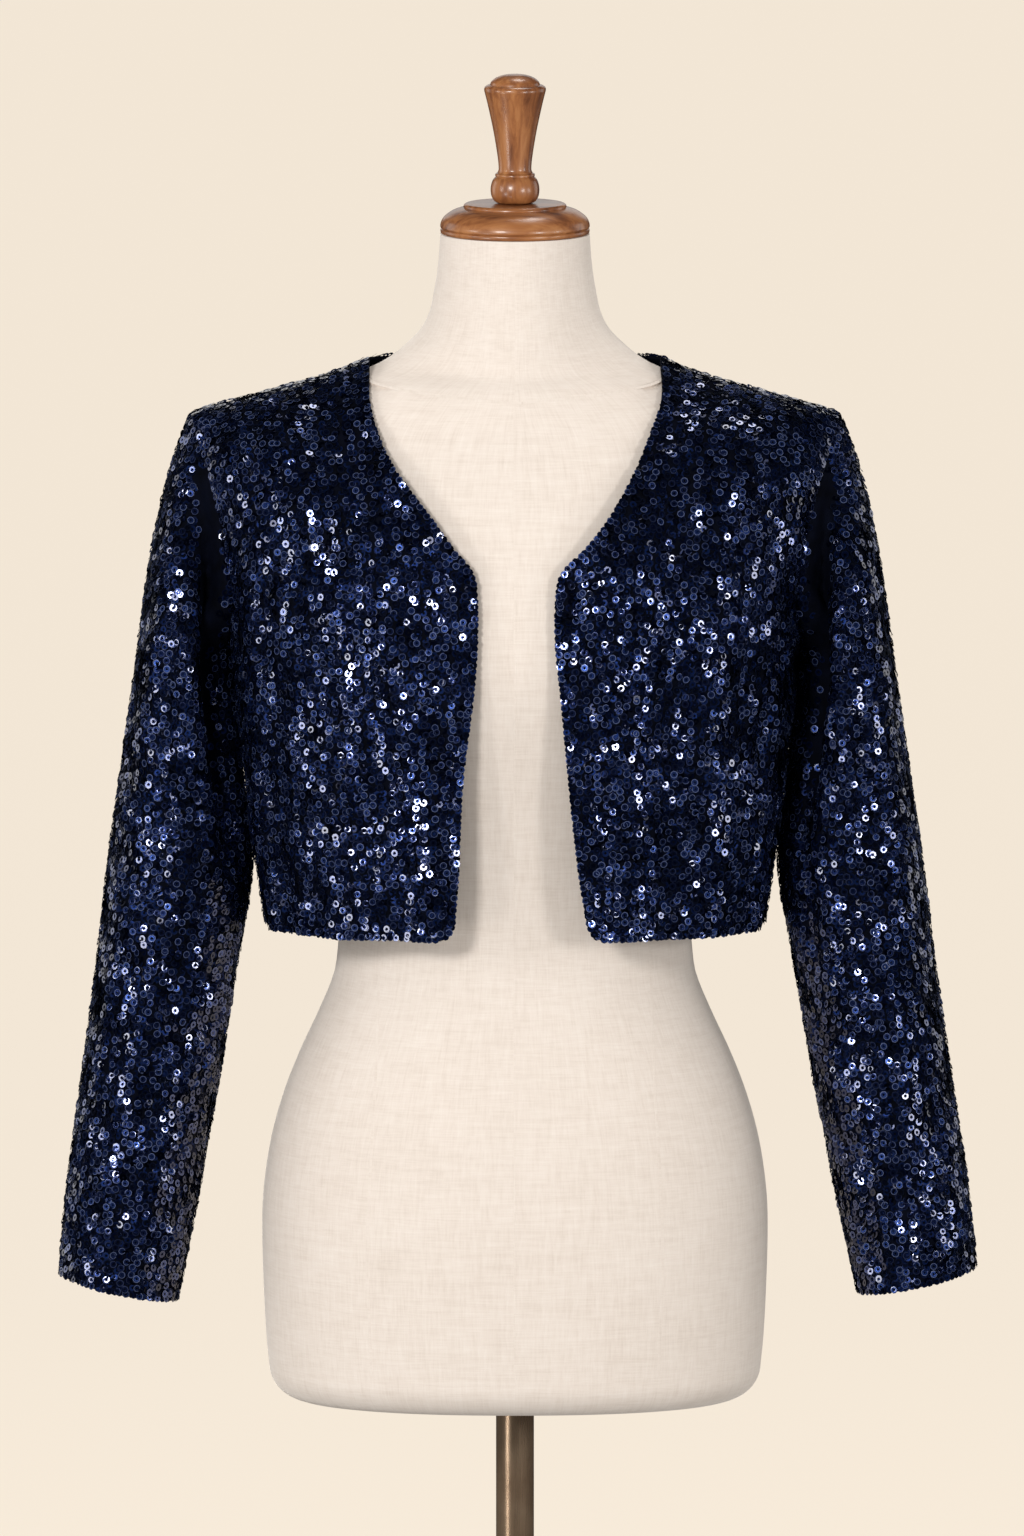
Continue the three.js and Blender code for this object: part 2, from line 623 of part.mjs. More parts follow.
// A closed wall between an outer and an inner grid of points. A tube's columns wrap round
function wallGeometry({ outer, inner }, wraps) {
  const rows = outer.length;
  const columns = outer[0].length;
  const points = [...outer.flat(), ...inner.flat()];
  const outerAt = (row, column) => row * columns + (column % columns);
  const innerAt = (row, column) => rows * columns + outerAt(row, column);
  const triangles = [];
  const addQuad = (a, b, c, d) => {
    const shortFirst = points[a].distanceTo(points[c]) <= points[b].distanceTo(points[d]);
    triangles.push(...(shortFirst ? [a, b, c, a, c, d] : [a, b, d, b, c, d]));
  };
  const spans = wraps ? columns : columns - 1;
  for (let column = 0; column < spans; column += 1) {
    for (let row = 0; row < rows - 1; row += 1) {
      addQuad(outerAt(row, column), outerAt(row, column + 1),
        outerAt(row + 1, column + 1), outerAt(row + 1, column));
      addQuad(innerAt(row, column), innerAt(row + 1, column),
        innerAt(row + 1, column + 1), innerAt(row, column + 1));
    }
    const top = rows - 1;
    addQuad(outerAt(0, column), innerAt(0, column),
      innerAt(0, column + 1), outerAt(0, column + 1));
    addQuad(outerAt(top, column), outerAt(top, column + 1),
      innerAt(top, column + 1), innerAt(top, column));
  }
  for (let row = 0; row < rows - 1 && !wraps; row += 1) {
    const last = columns - 1;
    addQuad(outerAt(row, 0), outerAt(row + 1, 0), innerAt(row + 1, 0), innerAt(row, 0));
    addQuad(outerAt(row, last), innerAt(row, last),
      innerAt(row + 1, last), outerAt(row + 1, last));
  }
  return closedGeometry(points, triangles);
}

// A geometry whose faces point out, whichever way its triangles were listed
function closedGeometry(points, triangles) {
  let volume = 0;
  for (let at = 0; at < triangles.length; at += 3) {
    const [a, b, c] = [0, 1, 2].map((corner) => points[triangles[at + corner]]);
    volume += a.dot(b.clone().cross(c));
  }
  const index = volume > 0 ? triangles : [...triangles].reverse();
  const geometry = new THREE.BufferGeometry().setFromPoints(points);
  geometry.setIndex(index);
  geometry.computeVertexNormals();
  return geometry;
}

// A point of the form, drawn in to lie under the cloth where the jacket's shoulders cover it
function underCloth(point) {
  const z = point.z + UNDER_CLOTH.below;
  if (point.z < CHEST_Z || z > UNDER_CLOTH.topZ) return point;
  const reach = Math.hypot(point.x, point.y);
  const covered = (share) => {
    const scale = share * (1 + UNDER_CLOTH.inside / reach);
    return bodyField(point.x * scale, point.y * scale, z, true) < 0;
  };
  let [low, high] = [0, 1];
  if (covered(high)) return point;
  for (let round = 0; round < HALVINGS; round += 1) {
    const middle = (low + high) / 2;
    if (covered(middle)) low = middle;
    else high = middle;
  }
  const insideNeckline = along(FRONT_EDGE, "right", point.z) - Math.abs(point.x);
  const bare = point.y < 0 ? soften(insideNeckline / UNDER_CLOTH.neckBlend) : 0;
  const scale = mix(low, 1, bare);
  return new THREE.Vector3(point.x * scale, point.y * scale, point.z);
}

// Dress form: a loft through its sections, with a rounded lower edge and flat ends
function dressForm() {
  const sections = [];
  const lowest = FORM[0];
  for (let step = 0; step < FORM_EDGE_STEPS; step += 1) {
    const turn = Math.PI / 2 * (1 - step / FORM_EDGE_STEPS);
    const inset = FORM_EDGE_RADIUS * (1 - Math.cos(turn));
    sections.push({
      z: lowest.z - FORM_EDGE_RADIUS * Math.sin(turn),
      width: lowest.width - inset,
      front: lowest.front - inset,
      back: lowest.back - inset,
      power: lowest.power,
    });
  }
  sections.push(...FORM);
  const points = [];
  for (const section of sections) {
    for (let side = 0; side < FORM_SIDES; side += 1) {
      const turn = 2 * Math.PI * side / FORM_SIDES;
      const across = Math.sign(Math.sin(turn)) * Math.abs(Math.sin(turn)) ** (2 / section.power);
      const deep = Math.abs(Math.cos(turn)) ** (2 / section.power);
      const y = Math.cos(turn) > 0 ? -section.front * deep : section.back * deep;
      points.push(underCloth(new THREE.Vector3(section.width * across, y, section.z)));
    }
  }
  const bottom = points.push(new THREE.Vector3(0, 0, sections[0].z)) - 1;
  const top = points.push(new THREE.Vector3(0, 0, NECK_TOP_Z)) - 1;
  const triangles = [];
  const last = (sections.length - 1) * FORM_SIDES;
  for (let side = 0; side < FORM_SIDES; side += 1) {
    const next = (side + 1) % FORM_SIDES;
    triangles.push(bottom, next, side, top, last + side, last + next);
    for (let row = 0; row < last; row += FORM_SIDES) {
      triangles.push(row + side, row + next, row + FORM_SIDES + next);
      triangles.push(row + side, row + FORM_SIDES + next, row + FORM_SIDES + side);
    }
  }
  return closedGeometry(points, triangles);
}

// A turned piece round the upright axis, from its foot at height 0 to its height
function turned(profile, height) {
  const points = [
    new THREE.Vector2(0, 0),
    ...profile.map(({ r, h }) => new THREE.Vector2(r, h)),
    new THREE.Vector2(0, height),
  ];
  return new THREE.LatheGeometry(points, TURNED_SIDES);
}

function poleGeometry() {
  const length = FORM_BOTTOM_Z - BASE_THICKNESS - 2 * SEAM_GAP;
  const geometry = new THREE.CylinderGeometry(POLE_RADIUS, POLE_RADIUS, length, TURNED_SIDES);
  geometry.translate(0, length / 2, 0);
  return geometry;
}

function baseGeometry() {
  const profile = [
    new THREE.Vector2(0, 0),
    new THREE.Vector2(BASE_RADIUS, 0),
    new THREE.Vector2(BASE_RADIUS, BASE_THICKNESS - BASE_BEVEL),
    new THREE.Vector2(BASE_RADIUS - BASE_BEVEL, BASE_THICKNESS),
    new THREE.Vector2(0, BASE_THICKNESS),
  ];
  return new THREE.LatheGeometry(profile, 2 * TURNED_SIDES);
}

function namedMesh(name, geometry, finish) {
  const mesh = new THREE.Mesh(geometry, new THREE.MeshStandardMaterial(finish));
  mesh.name = name;
  return mesh;
}

// Turned pieces are made round the Y axis, so they are tipped up and set at their foot's height
function standing(name, geometry, finish, footZ) {
  const mesh = namedMesh(name, geometry, finish);
  mesh.rotation.x = Math.PI / 2;
  mesh.position.z = footZ;
  return mesh;
}

const CAP_Z = NECK_TOP_Z + SEAM_GAP;
const CAP_HEIGHT = CAP_PROFILE[CAP_PROFILE.length - 1].h;

const jacket = new THREE.Group();
jacket.add(
  namedMesh("jacket_back", backPanel(), SEQUIN_CLOTH),
  namedMesh("jacket_front_left", frontPanel("left"), SEQUIN_CLOTH),
  namedMesh("jacket_front_right", frontPanel("right"), SEQUIN_CLOTH),
  namedMesh("jacket_sleeve_left", sleeve("left"), SEQUIN_CLOTH),
  namedMesh("jacket_sleeve_right", sleeve("right"), SEQUIN_CLOTH),
);

const stand = new THREE.Group();
stand.add(
  namedMesh("dress_form", dressForm(), LINEN),
  standing("neck_cap", turned(CAP_PROFILE, CAP_HEIGHT), WOOD, CAP_Z),
  standing("finial", turned(FINIAL_PROFILE, FINIAL_HEIGHT), WOOD, CAP_Z + CAP_HEIGHT + SEAM_GAP),
  standing("pole", poleGeometry(), BRONZE, BASE_THICKNESS + SEAM_GAP),
  standing("base", baseGeometry(), BRONZE, 0),
);

const part = new THREE.Group();
part.add(jacket, stand);

export default part;
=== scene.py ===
import math

import bpy
import numpy as np
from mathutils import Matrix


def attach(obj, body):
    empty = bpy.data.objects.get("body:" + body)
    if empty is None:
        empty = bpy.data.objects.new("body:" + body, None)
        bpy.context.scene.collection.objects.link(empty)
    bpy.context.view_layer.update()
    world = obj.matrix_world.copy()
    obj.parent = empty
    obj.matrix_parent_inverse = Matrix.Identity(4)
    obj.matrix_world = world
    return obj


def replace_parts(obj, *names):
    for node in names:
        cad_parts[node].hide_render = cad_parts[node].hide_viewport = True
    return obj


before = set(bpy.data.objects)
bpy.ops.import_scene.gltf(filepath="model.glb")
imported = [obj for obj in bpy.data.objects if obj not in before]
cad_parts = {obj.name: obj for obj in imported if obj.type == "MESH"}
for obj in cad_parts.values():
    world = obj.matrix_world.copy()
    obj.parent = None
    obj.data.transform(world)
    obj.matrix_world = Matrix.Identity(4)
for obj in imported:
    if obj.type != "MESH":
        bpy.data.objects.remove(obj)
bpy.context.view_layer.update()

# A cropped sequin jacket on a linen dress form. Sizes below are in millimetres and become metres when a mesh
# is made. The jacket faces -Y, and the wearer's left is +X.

MM = 0.001


def table(text):
    """Named columns of numbers, from lines of text. The first line holds the names."""
    names, *rows = (line.split() for line in text.strip().splitlines())
    return dict(zip(names, np.array(rows, float).T))


def rows_of(columns):
    """The rows of a table, each as its values by name."""
    return [dict(zip(columns, row)) for row in zip(*columns.values())]


# Cloth: how far its outer and inner face lie from the outer face of the built wall, and how high the sequins
# sit above that face
CLOTH_OUTER = -0.2
CLOTH_INNER = -2
SEQUIN_SEAT = 0.15
SEAM_GAP = 0.3

# Jacket body
HEM_Z = 1045
UNDERARM_Z = 1235
CHEST_Z = 1250
BODY_POWER = 2.7
NECK_X, NECK_Z = 102, 1439.5
TIP_X, TIP_Z = 222, 1402
NECK_RISE = 0.64
NECK_RISE_SOFTNESS = 12
BACK_NECK_Z = 1437.5
BACK_NECK_POWER = 6
BODY = table("""
z width front back
1045 175 120 103
1060 177.5 121 104
1080 180.5 122 104.5
1110 185.5 123.5 105
1150 189.5 125 105
1200 195 125.5 104.5
1250 199.5 125 104
""")
SHOULDER_WIDTH = 234
SHOULDER_WIDENING = 1.3
PROFILE_NECK_X, PROFILE_TIP_X = 100, 205
PROFILE_FRONT, PROFILE_BACK, PROFILE_TIP = 1.75, 2.05, 2.2
ARMHOLE_BITE = 9
ARMHOLE_BITE_LEVEL = 0.42
ARMHOLE_BITE_POWER = 1.4
FRONT_EDGE = table("""
z right left
1045 43 51.5
1063 41.5 49
1095 39.2 44
1156 36.4 37.5
1220 28.7 31.6
1256 26.2 28
1294 26.8 29.3
1305 30.5 34.5
1318 42 48.5
1340 58.7 66
1370 82.5 83.5
1395 95.5 94.5
1417 101.5 102.5
1439.5 102 102
""")
NECKLINE_START_Z = 1294
HEM_CORNER_RADIUS = 13
HEM_CORNER_SHARES = (0, 0.2, 0.55, 1)

# Soft folds and creases of the body. Each runs from a top height and angle to a low one. Angles are degrees
# round the body: 0 centre front, 90 the wearer's left side, 180 centre back. Width is in degrees, height is
# in millimetres, and a trough has a height below 0. The first eleven are the main folds
BODY_FOLDS = table("""
top_z top_turn low_z low_turn width height
1385 25 1030 22 7 3
1335 41 1030 46 5.5 3.5
1300 59 1030 62 5.5 4.5
1395 -34 1030 -15 6 3.5
1320 -46 1030 -39 6 3
1290 -62 1030 -64 5.5 4
1330 122 1030 114 7 4
1290 146 1030 143 8 3
1370 176 1030 173 9 3.5
1310 209 1030 213 8 3.5
1335 236 1030 245 7 4
""")
BODY_CREASES = table("""
top_z top_turn low_z low_turn width height
1392 33 1190 48 3.2 -1.6
1362 58 1150 37 2.8 1.4
1330 66 1130 52 2.6 -1.8
1250 31 1030 34 3 -1.5
1232 52 1035 54 2.4 1.6
1180 71 1030 69 2.6 -1.7
1398 -27 1225 -44 3 1.5
1366 -57 1160 -33 2.8 -1.6
1335 -64 1120 -52 2.6 1.7
1255 -24 1030 -27 3 -1.4
1215 -49 1040 -51 2.4 1.5
1170 -72 1030 -70 2.6 -1.8
1385 128 1170 141 3.4 1.6
1350 158 1090 153 3.6 -1.5
1300 189 1040 186 3.4 1.5
1372 226 1140 214 3.2 -1.6
1240 133 1030 129 3 -1.6
1225 228 1030 232 3 1.6
1205 103 1030 104 3 1.5
1195 256 1030 258 3 -1.5
""")
FOLD_FADE = 70
CREASE_FADE = 45
PLAN_STRETCH = 175 / 120

# Sleeves, for the wearer's left
SLEEVE = table("""
z outer inner depth y tilt
787 321 236.3 40 -21 12.5
850 315 223.7 43 -18 10.5
920 305 210.5 47 -14 8
1010 293 196 50 -10 6
1087 284 183.6 52 -7 4
1150 275 189.5 58 -5 2
1215 266 195.9 63 -4 0
""")
VALLEY = table("""
z x depth
1075 191 0
1130 195 15
1180 199.5 24
1235 205 28
1300 211 29
1345 216 25
1378 220.5 10
1394 223 0
""")
VALLEY_WIDTH = 11
VALLEY_TURN = 0.8
# Crease depths in millimetres: sleeve sequins deeper than a depth drawn at random between these are left off,
# so the near-black backing shows there as painted shade
VALLEY_BARE = (11, 17)
SLEEVE_TOP_Z, CUFF_Z = 1215, 787
SLEEVE_EDGE_Z = CUFF_Z - 1
CUFF_SHIFT = {"left": (3, 5), "right": (-1, 0)}
HEAD_OUT_AT_TIP, HEAD_OUT_AT_UNDERARM, HEAD_SWELL = 0.46, -0.08, 0.25
SLEEVE_TURN_POWER = 1.4
UNDERARM_TUCK = 0.5
SETTLE_ROWS = 3
HEAD_ROWS, ARM_ROWS = 8, 15
SLEEVE_ROWS = HEAD_ROWS + ARM_ROWS
LONG_SLEEVE_FOLDS = table("""
top_z low_z around width height
1330 900 48 17 3
1300 1000 98 15 2.5
1080 760 75 18 2.5
1310 930 305 18 3
1050 760 268 18 2.5
1290 1090 72 7 -1.6
1180 960 118 8 1.5
1010 840 52 8 -1.4
940 770 110 8 1.4
1250 1060 20 8 1.3
1270 1080 282 8 -1.6
1120 930 242 8 1.5
930 770 300 9 -1.4
""")
CROSS_SLEEVE_FOLDS = table("""
z around reach width slope height
1128 105 42 17 0.35 -3
1062 120 45 16 -0.3 -3.5
1095 255 45 18 0.3 -3
880 130 48 18 0.3 -2.5
1160 80 30 7 0.5 1.6
1098 95 34 7 0.2 1.7
1030 88 32 7 -0.4 1.5
968 112 34 8 0.35 -1.6
835 92 36 7 -0.25 1.4
1130 262 34 7 -0.4 1.6
1040 250 34 8 0.35 -1.6
905 268 36 8 -0.3 1.5
""")

# Dress form and stand
FORM = table("""
z width front back power
729 172.5 110.5 118.5 2.3
748 174.4 111.2 120.3 2.3
782 176.2 112 122 2.3
825 177.3 112 123 2.3
853 176.2 111 122 2.3
888 171 108 118 2.3
920 162.2 104 112 2.3
949 151 99 104 2.3
978 137.6 93 96 2.3
1004 127 89 90 2.3
1021 124.3 88 88 2.3
1050 122.5 88 86 2.3
1090 123.5 91 86 2.3
1130 127 97 88 2.3
1180 135 107 91 2.3
1230 146 117 94 2.3
1270 153 118 95.5 2.3
1305 158 111 93.5 2.3
1340 164 100 88 2.3
1370 168 88 81 2.2
1396 163 77 73 2
1412 151 73 70.5 1.8
1424 130 68 66.5 1.7
1432 102 62.5 62 1.65
1440 87 61 60.5 1.7
1448 77 60 59.5 1.8
1459 66 58.5 58 1.95
1471 59.8 57 56.5 2
1487 56.3 55 55 2
1503 53.8 53.5 53.5 2
1526 52 52 52 2
""")
FORM_EDGE_RADIUS = 23
FORM_BOTTOM_Z = 729 - FORM_EDGE_RADIUS
NECK_TOP_Z = 1526
UNDER_CLOTH_BELOW = 3.2
UNDER_CLOTH_INSIDE = 2.9
NECK_BLEND = 18
HALVINGS = 24
POLE_RADIUS = 13.3
BASE_RADIUS = 185
BASE_THICKNESS = 8
CAP_FOOT_Z = NECK_TOP_Z + SEAM_GAP
CAP_HEIGHT = 21
FINIAL_FOOT_Z = CAP_FOOT_Z + CAP_HEIGHT + SEAM_GAP

# Turned profiles: radius, height above the piece's foot, and 1 where the profile has a crisp edge
CAP_PROFILE = table("""
r h crisp
50.8 0 1
51.7 0.7 0
52 2 0
51.8 3.1 0
51 3.7 1
51.9 4.4 0
52.1 5.6 0
51.7 7.6 0
50.3 10.5 0
47.5 13.2 0
43.6 15.7 0
38.9 17.4 0
36.4 17.9 1
35.7 18.1 1
35.9 18.8 0
35.6 19.9 0
34.6 20.8 0
33.4 21 1
""")
FINIAL_PROFILE = table("""
r h crisp
12 0 1
14.4 1.2 0
16.3 4.4 0
17 8.4 0
16.7 12.4 0
15.4 16.2 0
13.4 18.6 1
13.8 19.2 0
13.6 20.4 0
12.6 21 1
11.9 22 0
11.4 24.5 0
12.2 33 0
15 50 0
18.6 67 0
20.9 76.4 0
21.5 79 0
21.1 81 0
19.4 82.3 0
17.4 82.7 1
17.2 83.4 0
16.4 85.1 0
13.2 87.6 0
7.5 89.5 0
0 90 0
""")

# Sequins: round, with a hole and a rounded rim, in a close under layer and a sparser top layer
SEQUIN_RADIUS = 2.7
SEQUIN_HOLE = 0.95
SEQUIN_CUP = 0.1
SEQUIN_SIDES = 8
SEQUIN_LAP = 0.1
RIM_TURN = 0.06
UNDER_PITCH = (4.8, 4.7)
TOP_PITCH = (6.1, 5.8)
UNDER_STRAY, TOP_STRAY = 0.9, 1.4
TOP_LIFT = 0.65
EDGE_PITCH = 4.1
EDGE_INSET = 1.7

# How unevenly the sequins tilt, lift and lie on their lines, and how many points those lines are drawn with
TOP_LOOSE, UNDER_LOOSE = 0.11, 0.19
WAVE_TILT = 0.12
WAVES = ((30, 5), (24, 9))
RIPPLE_WAVES = 7
LIFT_SPREAD = 0.2
RADIUS_SPREAD = (0.96, 1.04)
LINE_START, LINE_STRAY = (0.15, 0.85), 0.2
PHASES = 6.28
BODY_WANDER, BODY_WANDER_LENGTHS = 1.1, (16, 30)
PLAN_POINTS, PLAN_LEVEL, LEVEL_POINTS = 900, 1200.0, 400
FRONT_EDGE_CLEAR = 0.6
ARMHOLE_INSET, SHOULDER_INSET, SEAM_INSET = 0.7, 3, 0.05
HEM_POINTS, ARMHOLE_POINTS, SHOULDER_POINTS, FRONT_EDGE_POINTS, BACK_NECK_POINTS = 500, 400, 300, 500, 300


def mix(a, b, share):
    return a + (b - a) * share


def soften(share):
    s = np.clip(share, 0, 1)
    return s * s * (3 - 2 * s)


def close_up(share):
    return np.sin(np.pi / 2 * share)


def unit(vectors):
    return vectors / np.maximum(np.linalg.norm(vectors, axis=-1, keepdims=True), 1e-9)


def along(rows, column, z):
    """A value from a table's column at each height, on a smooth curve through its rows."""
    at, value = rows["z"], rows[column]
    last = len(at) - 1
    here = np.arange(last + 1)
    before, after = np.maximum(here - 1, 0), np.minimum(here + 1, last)
    slope = (value[after] - value[before]) / (at[after] - at[before])
    z = np.clip(z, at[0], at[last])
    row = np.clip(np.searchsorted(at, z, side="right") - 1, 0, last - 1)
    span = at[row + 1] - at[row]
    t = (z - at[row]) / span
    rise = value[row + 1] - value[row]
    start, end = slope[row] * span, slope[row + 1] * span
    bend = (start + end - 2 * rise) * t + (3 * rise - 2 * start - end)
    return value[row] + t * (start + t * bend)


# Jacket body surface

RIDGE_BASE_Z = NECK_Z - NECK_RISE * NECK_RISE_SOFTNESS * math.log(2)
SHOULDER_SLOPE = (RIDGE_BASE_Z - TIP_Z) / (TIP_X - NECK_X)


def ridge_height(x):
    beyond = np.abs(x) - NECK_X
    lift = NECK_RISE_SOFTNESS * np.log1p(np.exp(-beyond / NECK_RISE_SOFTNESS))
    return RIDGE_BASE_Z - SHOULDER_SLOPE * np.maximum(beyond, 0) + NECK_RISE * lift


def closing_share(level):
    return np.maximum(level - CHEST_Z, 0) / (TIP_Z - CHEST_Z)


def level_at(x, z):
    share = (z - CHEST_Z) / (ridge_height(x) - CHEST_Z)
    return np.where(z <= CHEST_Z, z, mix(CHEST_Z, TIP_Z, share))


def body_width(level):
    return mix(along(BODY, "width", level), SHOULDER_WIDTH, closing_share(level) ** SHOULDER_WIDENING)


def profile_power(x, front):
    share = (np.abs(x) - PROFILE_NECK_X) / (PROFILE_TIP_X - PROFILE_NECK_X)
    return mix(np.where(front, PROFILE_FRONT, PROFILE_BACK), PROFILE_TIP, soften(share))


def body_depth(z, front):
    return np.where(front, along(BODY, "front", z), along(BODY, "back", z))


def body_point(across, level, front):
    x = body_width(level) * across
    share = closing_share(level)
    power = profile_power(x, front)
    closing = np.maximum(1 - share ** power, 0) ** (1 / power)
    plan = np.maximum(1 - np.abs(across) ** BODY_POWER, 0) ** (1 / BODY_POWER)
    y = np.maximum(body_depth(level, front) * plan * closing, SEAM_GAP / 2) * np.where(front, -1, 1)
    z = np.where(level <= CHEST_Z, level, mix(CHEST_Z, ridge_height(x), share))
    return np.stack(np.broadcast_arrays(x, y, z), -1)


def body_field(p, over):
    """How far points lie outside the body's surface, in a form that is smooth where it is used."""
    x, y, z = p[..., 0], p[..., 1], p[..., 2]
    front = y < 0
    share = np.where(over, np.maximum(z - CHEST_Z, 0) / (ridge_height(x) - CHEST_Z), 0)
    width = mix(along(BODY, "width", z), SHOULDER_WIDTH, share ** SHOULDER_WIDENING)
    depth = body_depth(z, front)
    below = np.abs(x / width) ** BODY_POWER + np.abs(y / depth) ** BODY_POWER - 1
    power = profile_power(x, front)
    plan = np.maximum(1 - np.abs(x / width) ** BODY_POWER, 0) ** (1 / BODY_POWER)
    above = np.abs(y / (depth * np.maximum(plan, 0.05))) ** power + share ** power - 1
    return np.where(over, above, below)


def slope_of(field, p, step):
    slopes = []
    for axis in range(3):
        move = np.zeros(3)
        move[axis] = step
        slopes.append((field(p + move) - field(p - move)) / (2 * step))
    return np.stack(slopes, -1)


def body_normal(p):
    over = p[..., 2] > CHEST_Z + 0.05
    return unit(slope_of(lambda q: body_field(q, over), p, 0.05))


def bell(off, width):
    return np.exp(-((off / width) ** 2))


def fold_fade(fold, z, length, edge_z):
    """A fold's share of its height: it fades in at its top, and out at a low end above the edge."""
    fade = soften((fold["top_z"] - z) / length)
    return fade * soften((z - fold["low_z"]) / length) if fold["low_z"] > edge_z else fade


def turn_fold(p, folds, fade_length):
    """How high folds that run down the body stand at points of its surface."""
    turn = np.degrees(np.arctan2(p[..., 0], -p[..., 1] * PLAN_STRETCH))
    z = p[..., 2]
    height = np.zeros(turn.shape)
    for fold in rows_of(folds):
        fallen = (fold["top_z"] - z) / (fold["top_z"] - fold["low_z"])
        off = (turn - mix(fold["top_turn"], fold["low_turn"], fallen)) % 360
        off = np.where(off > 180, off - 360, off)
        height += fold["height"] * fold_fade(fold, z, fade_length, HEM_Z) * bell(off, fold["width"])
    return height


def body_fold(p):
    return turn_fold(p, BODY_FOLDS, FOLD_FADE) + turn_fold(p, BODY_CREASES, CREASE_FADE)


def body_skin(p):
    """The folded outer surface and its normals, from points of the plain surface."""
    normal = body_normal(p)
    slope = slope_of(body_fold, p, 0.5)
    slope -= (slope * normal).sum(-1, keepdims=True) * normal
    return p + normal * body_fold(p)[..., None], unit(normal - slope)


def armhole_level(around):
    return (TIP_Z + UNDERARM_Z) / 2 + (TIP_Z - UNDERARM_Z) / 2 * np.cos(around)


def armhole_across(level):
    risen = np.clip((level - UNDERARM_Z) / (TIP_Z - UNDERARM_Z) / ARMHOLE_BITE_LEVEL, 0, 1)
    return 1 - ARMHOLE_BITE * np.sin(np.pi / 2 * risen) ** ARMHOLE_BITE_POWER / body_width(level)


def armhole_point(around):
    level = armhole_level(around)
    return body_point(armhole_across(level), level, np.sin(around) > 0)


def side_across(level, front):
    seam = SEAM_GAP / 2 / body_depth(level, front)
    plain = (1 - seam ** BODY_POWER) ** (1 / BODY_POWER)
    return np.where(level > UNDERARM_Z, armhole_across(level), plain)


SKIRT_ROWS, ARMHOLE_ROWS = 9, 13
BACK_NECK_COLUMNS, SHOULDER_COLUMNS = 6, 9
BODY_ROWS = SKIRT_ROWS + ARMHOLE_ROWS
FRONT_EDGE_ROWS = BODY_ROWS // 2 - len(HEM_CORNER_SHARES) + 1
FRONT_NECK_ROWS = BODY_ROWS - FRONT_EDGE_ROWS - len(HEM_CORNER_SHARES) + 1


def side_level(row):
    up = np.clip((row - SKIRT_ROWS) / ARMHOLE_ROWS, 0, 1)
    skirt = mix(HEM_Z, UNDERARM_Z, np.clip(row / SKIRT_ROWS, 0, 1))
    return np.where(row <= SKIRT_ROWS, skirt, armhole_level(np.pi * (1 - up)))


def front_edge_height(row):
    heights = [HEM_Z + share * HEM_CORNER_RADIUS for share in HEM_CORNER_SHARES]
    start = heights[-1]
    for step in range(1, FRONT_EDGE_ROWS + 1):
        heights.append(mix(start, NECKLINE_START_Z, step / FRONT_EDGE_ROWS))
    for step in range(1, FRONT_NECK_ROWS + 1):
        heights.append(mix(NECKLINE_START_Z, NECK_Z, close_up(step / FRONT_NECK_ROWS)))
    return np.interp(row, np.arange(len(heights)), heights)


def front_edge_x(z, side):
    left = np.clip(HEM_CORNER_RADIUS - (z - HEM_Z), 0, HEM_CORNER_RADIUS)
    rounding = HEM_CORNER_RADIUS - np.sqrt(HEM_CORNER_RADIUS ** 2 - left ** 2)
    return along(FRONT_EDGE, side, z) + rounding


def turn_of(across):
    return np.arcsin(np.minimum(across, 1) ** (BODY_POWER / 2))


def across_of(turn):
    return np.sin(turn) ** (2 / BODY_POWER)


def back_neck_z(x):
    return mix(BACK_NECK_Z, NECK_Z, np.clip(np.abs(x) / NECK_X, 0, 1) ** BACK_NECK_POWER)


def front_grid(side, rows, columns):
    sign = 1 if side == "left" else -1
    row = np.linspace(0, BODY_ROWS, rows + 1)[:, None]
    share = np.linspace(0, 1, columns + 1)[None, :]
    z = front_edge_height(row)
    edge_x = front_edge_x(z, side)
    edge_level = level_at(edge_x, z)
    edge_turn = turn_of(edge_x / body_width(edge_level))
    side_turn = turn_of(side_across(side_level(row), True))
    level = mix(edge_level, side_level(row), share)
    p = body_point(across_of(mix(edge_turn, side_turn, share)), level, True)
    return p * [sign, 1, 1]


def back_grid(rows, columns):
    """The back's outer surface, from the hem up and from the wearer's right to the left."""
    half = BACK_NECK_COLUMNS + SHOULDER_COLUMNS
    place = np.linspace(-half, half, columns + 1)
    column = np.abs(place)
    on_shoulder = column >= BACK_NECK_COLUMNS
    x = np.where(
        on_shoulder,
        mix(NECK_X, TIP_X, (column - BACK_NECK_COLUMNS) / SHOULDER_COLUMNS),
        NECK_X * close_up(np.minimum(column / BACK_NECK_COLUMNS, 1)),
    )
    top_level = np.where(on_shoulder, TIP_Z, level_at(x, back_neck_z(x)))
    top_turn = turn_of(x / body_width(top_level))
    row = np.linspace(0, BODY_ROWS, rows + 1)[:, None]
    share = (column / half)[None, :]
    even = row / BODY_ROWS
    side = side_level(row)
    rise = mix(close_up(even), (side - HEM_Z) / (TIP_Z - HEM_Z), share)
    level = mix(HEM_Z, top_level[None, :], rise)
    side_turn = turn_of(side_across(side, False))
    turn = side_turn * mix(share, (top_turn / top_turn[-1])[None, :], even)
    p = body_point(across_of(turn), level, False)
    p[..., 0] *= np.sign(place)
    return p


# Sleeve surface, for the wearer's left. around is 0 along the outer edge and a quarter turn in front

